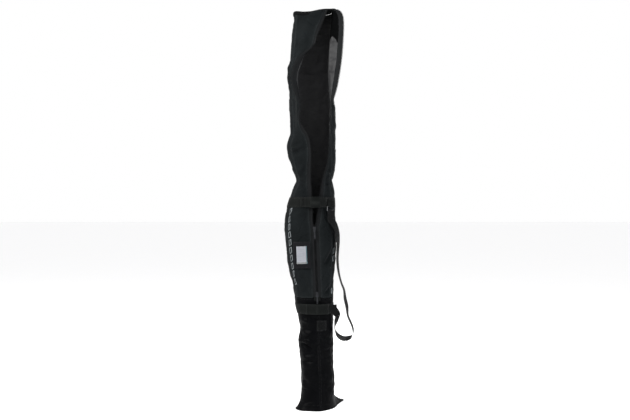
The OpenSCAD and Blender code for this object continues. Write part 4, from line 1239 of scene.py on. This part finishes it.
Z = np.arange(SEAM_Z + 3, TOP_Z - 16, 4.0)
Z = Z[pressed(Z) > 0.02]
Z_RUNS = (Z[Z < UPPER_Z - 32], Z[Z > UPPER_Z + 32])
runs = []
for name, ends in (("front_left_panel", (False,)), ("left_side_panel", (False, True)),
                   ("back_panel", (False, True)), ("right_side_panel", (False, True)),
                   ("front_right_panel", (True,))):
    runs += [cloth_at(name, z, 4.5, end) for end in ends for z in Z_RUNS]
sew("stitch_seams", runs)
runs = []
for z in Z_RUNS:
    runs += [cloth_at("front_left_panel", z, 3.5, True), cloth_at("front_right_panel", z, 3.5)]
sew("stitch_zip", runs)
zf = FOOT_ROWS[(FOOT_ROWS > 14) & (FOOT_ROWS < 446)]
runs = []
for name, end in (("foot_front_left", True), ("foot_front_right", False), ("foot_front_left", False),
                  ("foot_front_right", True), ("foot_back", False), ("foot_back", True)):
    runs.append(cloth_at(name, zf, 4, end))
for name in ("foot_back", "foot_front_left", "foot_front_right"):
    g = BODY[name]
    for row in (-2, 8):
        runs.append((g[row], normals(g)[row]))
sew("stitch_foot", runs)
runs = []
for name in ("back_panel", "left_side_panel", "right_side_panel", "front_left_panel", "front_right_panel"):
    runs.append((BODY[name][1], normals(BODY[name])[1]))
sew("stitch_foot_join", runs)
runs = []
for g, lift in ((UPPER_BAND, UPPER_LIFT), (LOWER_BAND, LOWER_LIFT)):
    for row in (3, -4):
        runs.append((g[row] + normals(g)[row] * lift, normals(g)[row]))
sew("stitch_bands", runs, slot="webbing")
runs = []
for side, g in HANDLE_GRIDS:
    cols = (1.2, 6.5) if side < 0 else (g.shape[1] - 7.5, g.shape[1] - 2.2)
    runs += box_lines(g, normals(g), LIFT, (2.6, g.shape[0] - 3.6), cols)
sew("stitch_handles", runs, slot="webbing")
runs = box_lines(patch, patch_n, PATCH_LIFT, (1.6, 22.4), (1.6, 22.4))
runs += box_lines(patch, patch_n, PATCH_LIFT, (3, 21), (3, 21), cross=False)
sew("stitch_patch", runs, slot="webbing")
runs = []
for w, h in ((FRAME_W - 5, FRAME_H - 5), (CARD_W + 3, CARD_H + 3)):
    c = [(-w / 2, -h / 2), (w / 2, -h / 2), (w / 2, h / 2), (-w / 2, h / 2), (-w / 2, -h / 2)]
    for (x0, z0), (x1, z1) in zip(c, c[1:]):
        t = np.linspace(0, 1, 20)
        p, q = [on_pocket(mix(x0, x1, t), mix(z0, z1, t), FRAME_STITCH + step) for step in (0, 1)]
        runs.append((p, q - p))
sew("stitch_pocket", runs, slot="pocket_fabric")


# ---------------------------------------------------------------- printed marks: plain slanted outlines
PRINT_LINE, PRINT_LIFT = 2.4, 0.22


def slanted_outlines(name, panel, mids, at_mm, w, h, lean):
    """Generic slanted outlines in a column, printed on a panel."""
    verts, faces = [], []
    for mid in mids:
        c = np.array([(-w / 2, -h / 2), (w / 2, -h / 2), (w / 2, h / 2), (-w / 2, h / 2)])
        for k in range(4):
            a, b = c[k], c[(k + 1) % 4]
            t = np.linspace(0, 1, 8)[:, None]
            run = mix(a, b, t)
            inward = -np.sign(run.mean(0)) * (np.abs(b - a) < 0.01)
            both = []
            for off in (0, PRINT_LINE):
                q = run + inward * off
                p, n = cloth_at(panel, mid + q[:, 1] + q[:, 0] * lean, at_mm + q[:, 0])
                both.append(p + n * PRINT_LIFT)
            at = sum(len(v) for v in verts)
            verts += both
            faces += [(at + i, at + i + 1, at + 9 + i, at + 8 + i) for i in range(7)]
    ob = mesh_object(name, np.concatenate(verts), faces)
    place(ob, "bag", "shell_fabric", "print")


slanted_outlines("print_left", "front_left_panel", np.arange(606, 940, 37), 7.2, 13, 27, 0.55)
slanted_outlines("print_right", "right_side_panel", (716, 752), 11, 12, 26, 0.5)
slanted_outlines("print_right_low", "right_side_panel", (562,), 9, 9, 24, 0.5)
